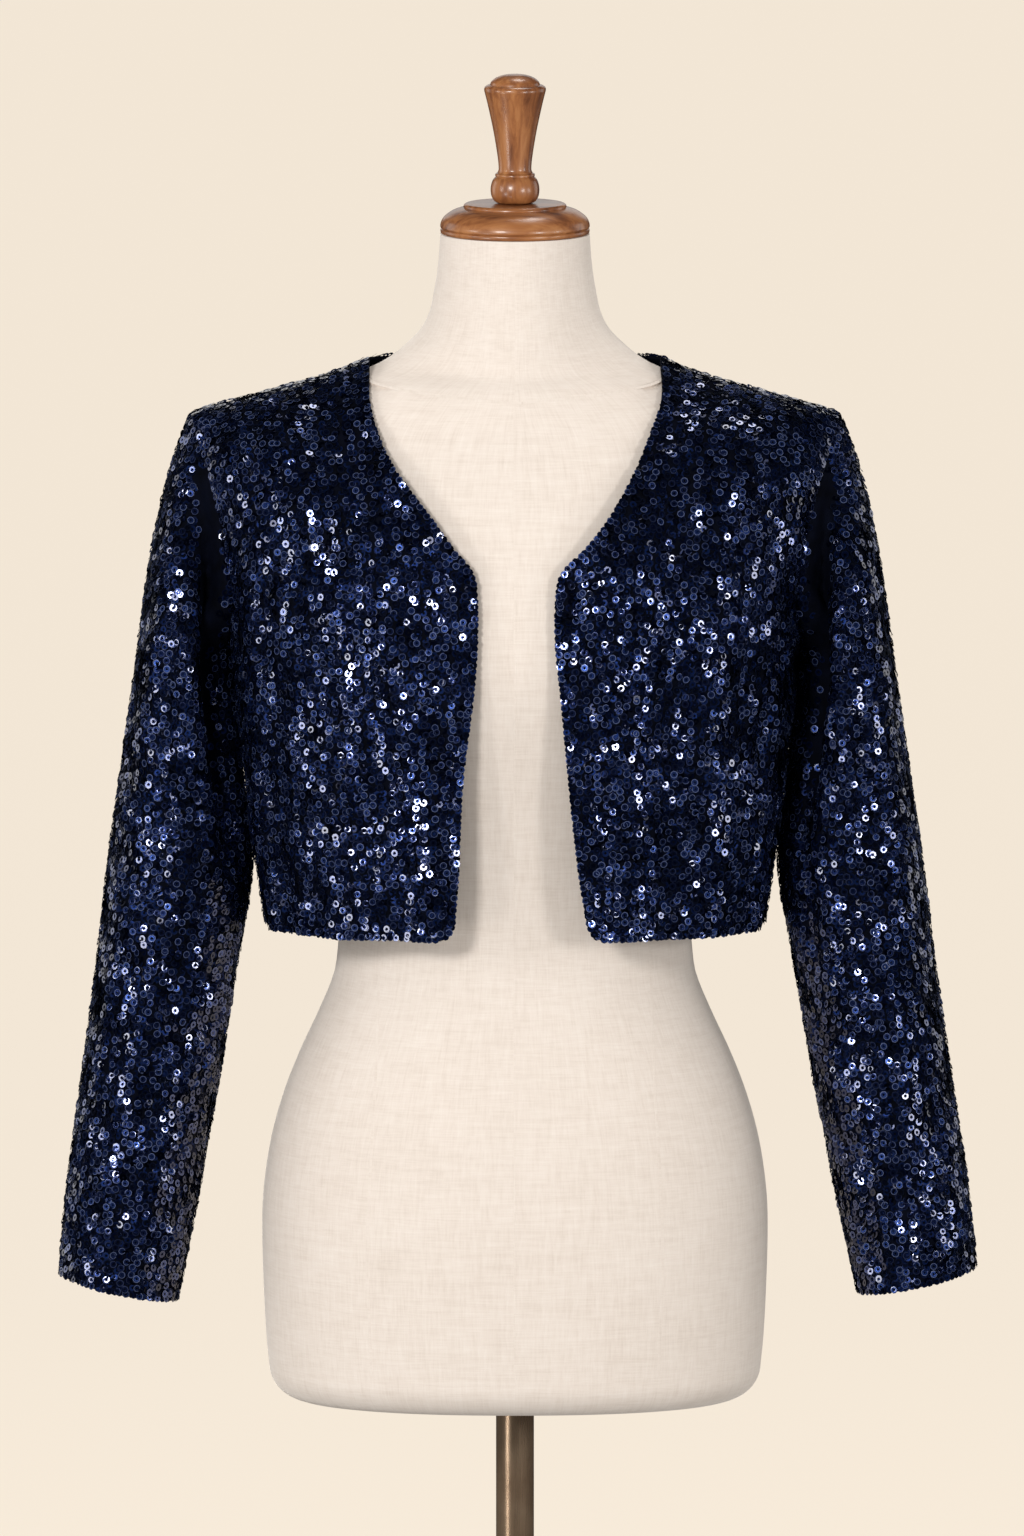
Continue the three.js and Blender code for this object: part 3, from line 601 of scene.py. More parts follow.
def sleeve_section(around, z, side):
    out, up = CUFF_SHIFT[side]
    fallen = (SLEEVE_TOP_Z - z) / (SLEEVE_TOP_Z - CUFF_Z)
    outer, inner = along(SLEEVE, "outer", z), along(SLEEVE, "inner", z)
    tilt = np.radians(along(SLEEVE, "tilt", z))
    reach = (outer - inner) / 2 * np.cos(around)
    return np.stack(np.broadcast_arrays(
        (outer + inner) / 2 + reach * np.cos(tilt) + out * fallen ** 2,
        along(SLEEVE, "y", z) - along(SLEEVE, "depth", z) * np.sin(around),
        z + reach * np.sin(tilt) + up * fallen ** 2,
    ), -1)


def sleeve_start(around):
    point = armhole_point(around)
    normal = body_normal(point)
    run = armhole_point(around + 0.02) - armhole_point(around - 0.02)
    away = unit(np.cross(normal, run))
    from_tip = np.arccos(np.cos(around))
    turned = (np.pi * (from_tip / np.pi) ** SLEEVE_TURN_POWER)[..., None]
    apart = unit(away * np.cos(turned / 2) + normal * np.sin(turned / 2))
    inward = unit(away * np.sin(turned) - normal * np.cos(turned))
    gap = mix(SEAM_GAP, -UNDERARM_TUCK, (from_tip / np.pi)[..., None] ** 2)
    return point + apart * gap, inward


def sleeve_base(row, around, side):
    row, around = np.broadcast_arrays(np.asarray(row, float), np.asarray(around, float))
    t = np.clip(row / HEAD_ROWS, 0, 1)[..., None]
    start, _ = sleeve_start(around)
    top = np.full(around.shape, float(SLEEVE_TOP_Z))
    end = sleeve_section(around, top, side)
    below = sleeve_section(around, top - 1, side)
    third = np.linalg.norm(end - start, axis=-1, keepdims=True) / 3
    under = (1 - np.cos(around)) / 2
    out = mix(HEAD_OUT_AT_TIP, HEAD_OUT_AT_UNDERARM, under)
    direction = unit(np.stack([out, -HEAD_SWELL * np.sin(around), -np.ones(out.shape)], -1))
    first = start + direction * third
    second = end - unit(below - end) * third
    head = start * (1 - t) ** 3 + 3 * first * t * (1 - t) ** 2 + 3 * second * t ** 2 * (1 - t) + end * t ** 3
    share = np.clip((row - HEAD_ROWS) / ARM_ROWS, 0, 1)
    arm = sleeve_section(around, mix(SLEEVE_TOP_Z, CUFF_Z, share), side)
    return np.where((row <= HEAD_ROWS)[..., None], head, arm)


def valley_depth(p, around):
    """How deep the crease beside the armhole is at points of the plain sleeve."""
    aside = (p[..., 0] - along(VALLEY, "x", p[..., 2])) / VALLEY_WIDTH
    facing = soften(np.abs(np.sin(around)) / VALLEY_TURN)
    return along(VALLEY, "depth", p[..., 2]) * facing * np.exp(-(aside ** 2))


def sleeve_fold(p, around):
    """How high the sleeve's folds stand, and how low its crease lies, at points of the plain sleeve."""
    degrees, z = np.degrees(around), p[..., 2]
    height = -valley_depth(p, around)
    for fold in rows_of(LONG_SLEEVE_FOLDS):
        off = (degrees - fold["around"] + 180) % 360 - 180
        height += fold["height"] * fold_fade(fold, z, FOLD_FADE, SLEEVE_EDGE_Z) * bell(off, fold["width"])
    for fold in rows_of(CROSS_SLEEVE_FOLDS):
        off = (degrees - fold["around"] + 180) % 360 - 180
        rise = z - fold["z"] - fold["slope"] * off
        height += fold["height"] * np.exp(-((rise / fold["width"]) ** 2) - (off / fold["reach"]) ** 2)
    return height


def sleeve_frame(surface, row, around):
    """The surface's way down, its way round and its outward normal."""
    step = 0.02
    down = surface(np.minimum(row + step, SLEEVE_ROWS), around) - surface(np.maximum(row - step, 0), around)
    round_way = surface(row, around + step) - surface(row, around - step)
    return unit(down), unit(round_way), unit(-np.cross(down, round_way))


def sleeve_outer(row, around, side):
    """The folded outer surface of a sleeve, before its mirroring."""
    row, around = np.broadcast_arrays(np.asarray(row, float), np.asarray(around, float))
    base = lambda r, a: sleeve_base(r, a, side)
    p = base(row, around)
    _, _, outward = sleeve_frame(base, row, around)
    return p + outward * (sleeve_fold(p, around) * soften(row / SETTLE_ROWS))[..., None]


def sleeve_skin(row, around, side):
    surface = lambda r, a: sleeve_outer(r, a, side)
    down, _, outward = sleeve_frame(surface, row, around)
    _, start_inward = sleeve_start(around)
    settled = soften(row / SETTLE_ROWS)[..., None]
    inward = unit(mix(start_inward, -outward, settled))
    return surface(row, around), -inward, outward, down


# Meshes

def finished(name, vertices, faces, look, crisp=50):
    """A smooth object from vertices in millimetres. faces is an array of corners, or a list of such arrays.

    Edges sharper than crisp degrees stay sharp. None leaves them all smooth.
    """
    mesh = bpy.data.meshes.new(name)
    vertices = np.asarray(vertices, float).reshape(-1, 3) * MM
    groups = faces if isinstance(faces, list) else [faces]
    corners = np.concatenate([group.ravel() for group in groups])
    sizes = np.concatenate([np.full(len(group), group.shape[1]) for group in groups])
    mesh.vertices.add(len(vertices))
    mesh.vertices.foreach_set("co", vertices.ravel())
    mesh.loops.add(len(corners))
    mesh.loops.foreach_set("vertex_index", corners.astype(np.int32))
    mesh.polygons.add(len(sizes))
    starts = np.concatenate([[0], np.cumsum(sizes)[:-1]]).astype(np.int32)
    mesh.polygons.foreach_set("loop_start", starts)
    mesh.polygons.foreach_set("use_smooth", np.ones(len(sizes), bool))
    mesh.update(calc_edges=True)
    if crisp:
        mesh.set_sharp_from_angle(angle=math.radians(crisp))
    mesh.materials.append(look)
    obj = bpy.data.objects.new(name, mesh)
    bpy.context.scene.collection.objects.link(obj)
    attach(obj, "root")
    return obj


def lay_uv(piece, name, places):
    """A UV layer from a place for each corner of each face."""
    piece.data.uv_layers.new(name=name).data.foreach_set("uv", places.ravel())


def grid_quads(rows, columns, wraps=False, start=0):
    row = np.arange(rows - 1)[:, None]
    column = np.arange(columns if wraps else columns - 1)[None, :]
    after = (column + 1) % columns
    quads = np.stack(np.broadcast_arrays(
        row * columns + column,
        row * columns + after,
        (row + 1) * columns + after,
        (row + 1) * columns + column,
    ), -1)
    return quads.reshape(-1, 4) + start


def capped(rings, top_z):
    """Vertices and faces of rings of points round the axis, closed by a fan at each end."""
    count, sides = rings.shape[:2]
    column = np.arange(sides)
    after = (column + 1) % sides
    first, last = count * sides, (count - 1) * sides
    low = np.stack([np.full(sides, first), after, column], -1)
    high = np.stack([np.full(sides, first + 1), last + column, last + after], -1)
    ends = [[0, 0, rings[0, 0, 2]], [0, 0, top_z]]
    return np.concatenate([rings.reshape(-1, 3), ends]), [grid_quads(count, sides, True), low, high]


def wall_faces(rows, columns, wraps):
    """Quads of a closed wall between two equal grids of points, the outer one first."""
    count = rows * columns
    spans = np.arange(columns if wraps else columns - 1)
    after = (spans + 1) % columns
    top = (rows - 1) * columns
    parts = [
        grid_quads(rows, columns, wraps),
        grid_quads(rows, columns, wraps, count)[:, ::-1],
        np.stack([spans, spans + count, after + count, after], -1),
        np.stack([top + spans, top + after, top + after + count, top + spans + count], -1),
    ]
    if not wraps:
        first = np.arange(rows - 1) * columns
        last = first + columns - 1
        parts.append(np.stack([first, first + columns, first + columns + count, first + count], -1))
        parts.append(np.stack([last, last + count, last + columns + count, last + columns], -1))
    return np.concatenate(parts)


def facing_out(vertices, faces):
    """The faces, turned round if their volume is negative."""
    v = np.asarray(vertices).reshape(-1, 3)
    a, b, c, d = (v[faces[:, at]] for at in range(4))
    volume = (np.cross(b - a, c - a) * a).sum() + (np.cross(c - a, d - a) * a).sum()
    return faces if volume > 0 else faces[:, ::-1]


def cloth_piece(name, outer, inward, wraps):
    skins = np.stack([outer + inward * -CLOTH_OUTER, outer + inward * -CLOTH_INNER])
    faces = facing_out(skins, wall_faces(*outer.shape[:2], wraps))
    return finished(name, skins, faces, BACKING)


# Materials

def material(name, base, roughness, metallic=0.0, values=None):
    """A new material with its node tree and its shader. values holds further inputs of the shader by name."""
    made = bpy.data.materials.new(name)
    made.use_nodes = True
    shader = made.node_tree.nodes["Principled BSDF"]
    plain = {"Base Color": (*base, 1), "Roughness": roughness, "Metallic": metallic}
    for socket, value in {**plain, **(values or {})}.items():
        shader.inputs[socket].default_value = value
    return made, made.node_tree, shader


def add_node(tree, kind, values=None, **settings):
    made = tree.nodes.new(kind)
    for name, value in settings.items():
        setattr(made, name, value)
    for name, value in (values or {}).items():
        made.inputs[name].default_value = value
    return made


def link(tree, source, target):
    tree.links.new(source, target)


def ramp(tree, source, stops):
    made = add_node(tree, "ShaderNodeValToRGB")
    elements = made.color_ramp.elements
    while len(elements) < len(stops):
        elements.new(0.5)
    for element, (position, color) in zip(elements, stops):
        element.position = position
        element.color = (*color, 1)
    link(tree, source, made.inputs["Fac"])
    return made.outputs["Color"]


def paint(tree, shader, source, stops):
    link(tree, ramp(tree, source, stops), shader.inputs["Base Color"])


def math_node(tree, operation, *values):
    """The outcome of an operation on numbers and sockets."""
    made = add_node(tree, "ShaderNodeMath", operation=operation)
    for socket, value in zip(made.inputs, values):
        if isinstance(value, (int, float)):
            socket.default_value = value
        else:
            link(tree, value, socket)
    return made.outputs["Value"]


def blended(tree, first, second, share):
    """Two values in the given shares, of which the first one's is stated."""
    first, second = math_node(tree, "MULTIPLY", first, share), math_node(tree, "MULTIPLY", second, 1 - share)
    return math_node(tree, "ADD", first, second)


def texture(tree, kind, output, place, values, stretch=None):
    """A texture's output at a place, which is stretched first where a stretch is given."""
    if stretch:
        mapping = add_node(tree, "ShaderNodeMapping", {"Scale": stretch})
        link(tree, place, mapping.inputs["Vector"])
        place = mapping.outputs["Vector"]
    made = add_node(tree, "ShaderNodeTex" + kind, values)
    link(tree, place, made.inputs["Vector"])
    return made.outputs[output]


def noise(tree, place, values, stretch=None):
    return texture(tree, "Noise", "Fac", place, values, stretch)


def bump(tree, shader, height, strength, distance):
    made = add_node(tree, "ShaderNodeBump", {"Strength": strength, "Distance": distance})
    link(tree, height, made.inputs["Height"])
    link(tree, made.outputs["Normal"], shader.inputs["Normal"])


FOIL_METALLIC, RIM_METALLIC = 0.85, 0.1
ROUGHNESS_SPREAD = 0.14


def sequin_material(name, stops, rim_highlight_color, roughness, coat, gloss):
    """Midnight blue foil under a clear skin, with a paler band near the rim painted in as a highlight where a
    rounded rim would catch the light. It differs from sequin to sequin.
    """
    made, tree, shader = material(name, stops[1][1], roughness, FOIL_METALLIC, {
        "Coat Weight": coat,
        "Coat Roughness": 0.07,
        "Coat IOR": 1.6,
        "Specular IOR Level": gloss,
    })
    island = add_node(tree, "ShaderNodeNewGeometry").outputs["Random Per Island"]
    across = add_node(tree, "ShaderNodeSeparateXYZ")
    link(tree, add_node(tree, "ShaderNodeUVMap").outputs["UV"], across.inputs[0])
    # Painted rim highlight: a pale band near the rim and a faint one at the hole, back to the foil at the
    # very edge; how strong it is differs at random from sequin to sequin
    rim, rim_highlight_strength = (
        ramp(tree, source, [(position, (grey, grey, grey)) for position, grey in greys])
        for source, greys in (
            (across.outputs["X"], [(0.0, 0.25), (0.16, 0), (0.6, 0), (0.78, 1), (0.9, 0.7), (1.0, 0)]),
            (island, [(0.25, 0.12), (0.8, 1)]),
        )
    )
    share = math_node(tree, "MULTIPLY", rim, rim_highlight_strength)
    color = add_node(tree, "ShaderNodeMixRGB", {"Color2": (*rim_highlight_color, 1)})
    link(tree, share, color.inputs["Fac"])
    link(tree, ramp(tree, island, stops), color.inputs["Color1"])
    link(tree, color.outputs["Color"], shader.inputs["Base Color"])
    foil = math_node(tree, "MULTIPLY_ADD", share, RIM_METALLIC - FOIL_METALLIC, FOIL_METALLIC)
    link(tree, foil, shader.inputs["Metallic"])
    rough = math_node(tree, "MULTIPLY_ADD", island, ROUGHNESS_SPREAD, roughness - ROUGHNESS_SPREAD / 2)
    link(tree, rough, shader.inputs["Roughness"])
    return made


def backing_material():
    """The midnight blue cloth under the sequins: a fine knit with a little nap. It is near black, partly as
    the cloth's own colour and partly as painted shade where it shows bare in the crease beside the armhole.
    """
    made, tree, shader = material("backing_cloth", (0.001, 0.002, 0.006), 0.8, values={
        "Sheen Weight": 0.02,
        "Sheen Roughness": 0.4,
        "Sheen Tint": (0.05, 0.08, 0.25, 1),
        "Specular IOR Level": 0.05,
    })
    place = add_node(tree, "ShaderNodeTexCoord").outputs["Object"]
    weave = texture(tree, "Voronoi", "Distance", place, {"Scale": 1400.0, "Randomness": 0.35})
    mottle = noise(tree, place, {"Scale": 90.0, "Detail": 3.0})
    # Near-black colours, dark partly of their own and partly as painted shade for the bare crease beside the
    # armhole
    paint(tree, shader, mottle, [(0.3, (0.0006, 0.001, 0.003)), (0.7, (0.0014, 0.0024, 0.008))])
    bump(tree, shader, weave, 0.5, 0.0004)
    return made


def linen_material():
    """Natural linen with uneven threads both ways."""
    made, tree, shader = material("linen_cover", (0.8, 0.72, 0.63), 0.88, values={
        "Sheen Weight": 0.5,
        "Sheen Roughness": 0.5,
        "Sheen Tint": (1.0, 0.96, 0.9, 1),
        "Specular IOR Level": 0.25,
    })
    uv = add_node(tree, "ShaderNodeUVMap").outputs["UV"]
    down, across, slubs, cross_slubs, cloudy = (
        noise(tree, uv, {"Scale": scale, "Detail": detail, "Roughness": 0.6}, (*stretch, 1.0))
        for stretch, scale, detail in (
            ((1.0, 0.07), 900.0, 2.0),
            ((0.07, 1.0), 900.0, 2.0),
            ((1.0, 0.12), 260.0, 3.0),
            ((0.1, 1.0), 240.0, 3.0),
            ((1.0, 1.0), 14.0, 2.0),
        )
    )
    fine = math_node(tree, "ADD", down, across)
    coarse = math_node(tree, "ADD", slubs, cross_slubs)
    woven = math_node(tree, "MULTIPLY", math_node(tree, "ADD", fine, coarse), 0.25)
    paint(tree, shader, blended(tree, woven, cloudy, 0.9), [
        (0.36, (0.7, 0.612, 0.54)),
        (0.5, (0.785, 0.7, 0.63)),
        (0.64, (0.845, 0.77, 0.705)),
    ])
    bump(tree, shader, woven, 0.55, 0.0006)
    return made


def wood_material(name, upright):
    """Reddish-brown turned wood with satin varnish. upright says whether its grain runs up the axis."""
    made, tree, shader = material(name, (0.32, 0.13, 0.05), 0.36, values={
        "Coat Weight": 0.6,
        "Coat Roughness": 0.22,
    })
    place = add_node(tree, "ShaderNodeTexCoord").outputs["Object"]
    stretch = (1.0, 1.0, 0.09) if upright else (0.09, 1.0, 1.0)
    grain, figure = (noise(tree, place, values, stretch) for values in (
        {"Scale": 210.0, "Detail": 5.0, "Roughness": 0.62, "Distortion": 0.6},
        {"Scale": 45.0, "Detail": 3.0, "Distortion": 1.2},
    ))
    paint(tree, shader, blended(tree, grain, figure, 0.5), [
        (0.34, (0.12, 0.036, 0.011)),
        (0.45, (0.24, 0.082, 0.026)),
        (0.54, (0.36, 0.137, 0.044)),
        (0.66, (0.47, 0.205, 0.075)),
    ])
    bump(tree, shader, grain, 0.12, 0.0004)
    return made


def bronze_material(name, upright):
    """Darkened brass, brushed along its axis if upright and finely turned otherwise."""
    made, tree, shader = material(name, (0.42, 0.29, 0.19), 0.3, 0.75)
    place = add_node(tree, "ShaderNodeTexCoord").outputs["Object"]
    scale, stretch = (1500.0, (1.0, 1.0, 0.02)) if upright else (300.0, None)
    brushed = noise(tree, place, {"Scale": scale, "Detail": 2.0}, stretch)
    patina = noise(tree, place, {"Scale": 22.0, "Detail": 4.0})
    paint(tree, shader, patina, [(0.35, (0.33, 0.22, 0.14)), (0.65, (0.5, 0.36, 0.24))])
    link(tree, math_node(tree, "MULTIPLY_ADD", brushed, 0.25, 0.17), shader.inputs["Roughness"])
    bump(tree, shader, brushed, 0.04, 0.0001)
    return made


# Top-layer sequins. The colour after the stops is that of the painted rim highlight
TOP_SEQUIN = sequin_material("sequin_top", [
    (0.0, (0.002, 0.005, 0.022)),
    (0.35, (0.004, 0.011, 0.062)),
    (0.75, (0.008, 0.025, 0.135)),
    (1.0, (0.02, 0.055, 0.25)),
], (0.115, 0.14, 0.225), 0.2, 0.9, 0.35)
# Under-layer sequins: the same foil painted much darker, as the shade that the top layer casts on them, with
# a fainter painted rim highlight
SHADED_UNDER_SEQUIN = sequin_material("sequin_under_painted_shade", [
    (0.0, (0.0006, 0.0012, 0.006)),
    (0.5, (0.002, 0.006, 0.032)),
    (1.0, (0.006, 0.019, 0.095)),
], (0.007, 0.011, 0.03), 0.32, 0.08, 0.1)
BACKING = backing_material()
LINEN = linen_material()
CAP_WOOD = wood_material("turned_wood_cap", False)
FINIAL_WOOD = wood_material("turned_wood_finial", True)
POLE_BRONZE = bronze_material("bronze_pole", True)
BASE_BRONZE = bronze_material("bronze_base", False)


# Cloth of the jacket

SIDES = {"left": 1, "right": -1}
CLOTH_ROWS, FRONT_COLUMNS, BACK_COLUMNS = 66, 44, 90
SLEEVE_ROW_STEPS, SLEEVE_COLUMNS = 3, 88


def body_cloth(panel, plain):
    skin, _ = body_skin(plain)
    made = cloth_piece("cloth_" + panel, skin, -body_normal(plain), False)
    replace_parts(made, "jacket_" + panel)
    return made


FRONT_CLOTH = {
    side: body_cloth("front_" + side, front_grid(side, CLOTH_ROWS, FRONT_COLUMNS)) for side in SIDES
}
BACK_CLOTH = body_cloth("back", back_grid(CLOTH_ROWS, BACK_COLUMNS))
SLEEVE_CLOTH = {}
for side, sign in SIDES.items():
    row = np.linspace(0, SLEEVE_ROWS, SLEEVE_ROW_STEPS * SLEEVE_ROWS + 1)[:, None]
    around = np.linspace(0, 2 * np.pi, SLEEVE_COLUMNS + 1)[None, :-1]
    skin, outward, _, _ = sleeve_skin(*np.broadcast_arrays(row, around), side)
    mirror = np.array([sign, 1, 1])
    SLEEVE_CLOTH[side] = cloth_piece("cloth_sleeve_" + side, skin * mirror, -outward * mirror, True)
    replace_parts(SLEEVE_CLOTH[side], "jacket_sleeve_" + side)


# Sequins

rng = np.random.default_rng(38)


def ripple(p, wavelength, seed):
    """A smooth random field over points, of about unit size, longer down than across."""
    waves = np.random.default_rng(seed)
    total = np.zeros(p.shape[:-1])
    for _ in range(RIPPLE_WAVES):
        direction = unit(waves.normal(size=3)) * [1, 1, 0.55]
        phase = waves.uniform(0, 2 * np.pi)
        length = wavelength * waves.uniform(0.7, 1.5)
        total += np.sin(p @ direction * 2 * np.pi / length + phase)
    return total * math.sqrt(2 / RIPPLE_WAVES)


def sequins(name, points, normals, downs, top):
    """One mesh of sequins: slightly cupped rings. top says which ones lie in the top layer."""
    count = len(points)
    side_way = unit(np.cross(normals, downs))
    downs = unit(np.cross(side_way, normals))
    loose = np.where(top, TOP_LOOSE, UNDER_LOOSE)
    lean, sway = (rng.normal(size=count) * loose + WAVE_TILT * ripple(points, *wave) for wave in WAVES)
    facing = unit(normals - downs * (SEQUIN_LAP + lean)[:, None] + side_way * sway[:, None])
    across = unit(np.cross(facing, downs))
    along_way = np.cross(across, facing)
    lift = SEQUIN_SEAT + rng.uniform(-LIFT_SPREAD, LIFT_SPREAD, count) + np.where(top, TOP_LIFT, 0)
    centres = (points + normals * lift[:, None])[:, None, :]
    radius = SEQUIN_RADIUS * rng.uniform(*RADIUS_SPREAD, count)
    turn = np.linspace(0, 2 * np.pi, SEQUIN_SIDES, endpoint=False) + rng.uniform(0, 1, count)[:, None]
    way = across[:, None, :] * np.cos(turn)[..., None] + along_way[:, None, :] * np.sin(turn)[..., None]
    facing = facing[:, None, :]
    rim = centres + way * radius[:, None, None]
    hole = centres + way * SEQUIN_HOLE + facing * -SEQUIN_CUP
    rounded = np.concatenate([facing + way * RIM_TURN, facing - way * RIM_TURN], 1)
    corner = np.arange(SEQUIN_SIDES)
    after = (corner + 1) % SEQUIN_SIDES
    one = np.stack([corner, corner + SEQUIN_SIDES, after + SEQUIN_SIDES, after], -1)
    faces = (one[None] + (np.arange(count) * 2 * SEQUIN_SIDES)[:, None, None]).reshape(-1, 4)
    piece = finished(name, np.concatenate([rim, hole], 1), faces, SHADED_UNDER_SEQUIN, None)
    piece.data.materials.append(TOP_SEQUIN)
    piece.data.polygons.foreach_set("material_index", np.repeat(top.astype(np.int32), SEQUIN_SIDES))
    piece.data.normals_split_custom_set_from_vertices(unit(rounded).reshape(-1, 3))
    ring = np.tile(np.repeat([1.0, 0.0], SEQUIN_SIDES), count)
    spread = np.tile(np.linspace(0, 1, 2 * SEQUIN_SIDES), count)
    lay_uv(piece, "ring", np.stack([ring, spread], -1)[faces.ravel()])
    return piece


def lengths_along(points):
    """How far each point of a line lies from its start, along the line."""
    return np.concatenate([[0], np.cumsum(np.linalg.norm(np.diff(points, axis=0), axis=-1))])


def evenly(points, pitch):
    """Uneven places at an even pitch on a line of points: each as an index between the points."""
    arc = lengths_along(points)
    count = max(int(arc[-1] / pitch), 1)
    at = (np.arange(count) + rng.uniform(*LINE_START) + rng.uniform(-LINE_STRAY, LINE_STRAY, count)) * pitch
    return np.interp(np.clip(at, 0, arc[-1]), arc, np.arange(len(points)))


# Places on the body are rows of turn, level and 1 for the top layer

def body_places(front, pitch, stray, top):
    """Sequins over half the body, on lines that wander a little."""
    fine_turn = np.linspace(0, np.pi / 2, PLAN_POINTS)
    arc = lengths_along(body_point(across_of(fine_turn), PLAN_LEVEL, front))
    levels = np.linspace(HEM_Z, TIP_Z, LEVEL_POINTS)
    places = []
    for start in np.arange(pitch[0] / 2, arc[-1], pitch[0]):
        line_turn = np.interp(start, arc, fine_turn)
        at = evenly(body_point(across_of(line_turn), levels, front), pitch[1])
        level = np.interp(at, np.arange(len(levels)), levels)
        wander = BODY_WANDER * np.sin(level / rng.uniform(*BODY_WANDER_LENGTHS) + rng.uniform(0, PHASES))
        turn = np.interp(start + wander + rng.normal(size=len(at)) * stray, arc, fine_turn)
        places.append(np.stack([turn, level, np.full(len(at), top)], -1))
    return np.concatenate(places)


def body_line(turn, level, front):
    """Sequins along a line over the body, with every other one in the top layer."""
    turn, level = np.broadcast_arrays(turn, level)
    at = evenly(body_point(across_of(turn), level, front), EDGE_PITCH)
    index = np.arange(len(turn))
    return np.stack([np.interp(at, index, turn), np.interp(at, index, level), np.arange(len(at)) % 2], -1)


def line_at(x, z, front):
    level = level_at(x, z)
    return body_line(turn_of(np.clip(x / body_width(level), 0, 1)), level, front)


def trimmed(places, front, side):
    """The places that lie on the panel and off its edges."""
    turn, level = places[:, 0], places[:, 1]
    x, _, z = body_point(across_of(turn), level, front).T
    keep = across_of(turn) <= side_across(level, front) - EDGE_INSET / 2 / body_width(level)
    keep &= z >= HEM_Z + EDGE_INSET
    if front:
        keep &= x >= front_edge_x(z, side) + EDGE_INSET + FRONT_EDGE_CLEAR
    else:
        keep &= (x >= NECK_X) | (z <= back_neck_z(x) - EDGE_INSET)
    return places[keep]


def body_sequins(name, parts, front, sign):
    turn, level, top = np.concatenate(parts).T
    plain, above, under = (
        body_point(across_of(turn), at, front) * np.array([sign, 1, 1])
        for at in (level, np.minimum(level + 0.3, TIP_Z), level - 0.3)
    )
    skin, normal = body_skin(plain)
    return sequins(name, skin, normal, unit(under - above), top > 0)


def covered_half(front, side):
    """Sequins over half a body panel's face and along its hem, its armhole and its shoulder seam."""
    parts = [
        trimmed(body_places(front, UNDER_PITCH, UNDER_STRAY, 0), front, side),
        trimmed(body_places(front, TOP_PITCH, TOP_STRAY, 1), front, side),
    ]
    hem_turn = np.linspace(0.02, np.pi / 2 - 0.001, HEM_POINTS)
    if front:
        hem_x = body_width(HEM_Z) * across_of(hem_turn)
        hem_turn = hem_turn[hem_x > front_edge_x(HEM_Z + EDGE_INSET, side) + EDGE_INSET]
    parts.append(body_line(hem_turn, HEM_Z + EDGE_INSET, front))
    armhole = np.linspace(UNDERARM_Z, TIP_Z - 1, ARMHOLE_POINTS)
    inset = EDGE_INSET * ARMHOLE_INSET / body_width(armhole)
    parts.append(body_line(turn_of(armhole_across(armhole) - inset), armhole, front))
    seam_x = np.linspace(NECK_X + SHOULDER_INSET, TIP_X - SHOULDER_INSET, SHOULDER_POINTS)
    parts.append(body_line(turn_of(seam_x / body_width(TIP_Z)), TIP_Z - SEAM_INSET, front))
    return parts


SEQUINS = {"cloth_back": []}
for side, sign in SIDES.items():
    parts = covered_half(True, side)
    edge_z = np.linspace(HEM_Z + EDGE_INSET, NECK_Z - 1, FRONT_EDGE_POINTS)
    parts.append(line_at(front_edge_x(edge_z, side) + EDGE_INSET, edge_z, True))
    SEQUINS["cloth_front_" + side] = [body_sequins("sequins_front_" + side, parts, True, sign)]

    parts = covered_half(False, side)
    neck_x = np.linspace(1, NECK_X, BACK_NECK_POINTS)
    parts.append(line_at(neck_x, back_neck_z(neck_x) - EDGE_INSET, False))
    SEQUINS["cloth_back"].append(body_sequins("sequins_back_" + side, parts, False, sign))


# Places on a sleeve are rows of row, around and 1 for the top layer

SLEEVE_LINE_START = 0.2
SLEEVE_LINE_GIRTH, SLEEVE_LINE_RADIUS = 308, 49
SLEEVE_LINE_POINTS, SLEEVE_RING_POINTS = 700, 500
SLEEVE_WANDER, SLEEVE_WANDER_SPEEDS = 0.022, (0.9, 1.8)
HEAD_RING_ROW = 0.13
CUFF_ROW = SLEEVE_ROWS - EDGE_INSET * ARM_ROWS / (SLEEVE_TOP_Z - CUFF_Z)
HALF_ROW = 12


def sleeve_lines(side, pitch, stray, top):
    """Sequins over a sleeve, on lines that wander a little."""
    rows = np.linspace(SLEEVE_LINE_START, SLEEVE_ROWS, SLEEVE_LINE_POINTS)
    lines = round(SLEEVE_LINE_GIRTH / pitch[0])
    places = []
    for line in range(lines):
        around = 2 * np.pi * (line + 0.5) / lines
        at = evenly(sleeve_base(rows, around, side), pitch[1])
        row = np.interp(at, np.arange(len(rows)), rows)
        wander = SLEEVE_WANDER * np.sin(row * rng.uniform(*SLEEVE_WANDER_SPEEDS) + rng.uniform(0, PHASES))
        wander = wander + rng.normal(size=len(at)) * stray / SLEEVE_LINE_RADIUS
        places.append(np.stack([row, around + wander, np.full(len(at), top)], -1))
    return np.concatenate(places)


def sleeve_ring(side, row):
    round_way = np.linspace(0, 2 * np.pi, SLEEVE_RING_POINTS)
    at = evenly(sleeve_base(row, round_way, side), EDGE_PITCH)
    around = np.interp(at, np.arange(len(round_way)), round_way)
    return np.stack([np.full(len(at), row), around, np.arange(len(at)) % 2], -1)


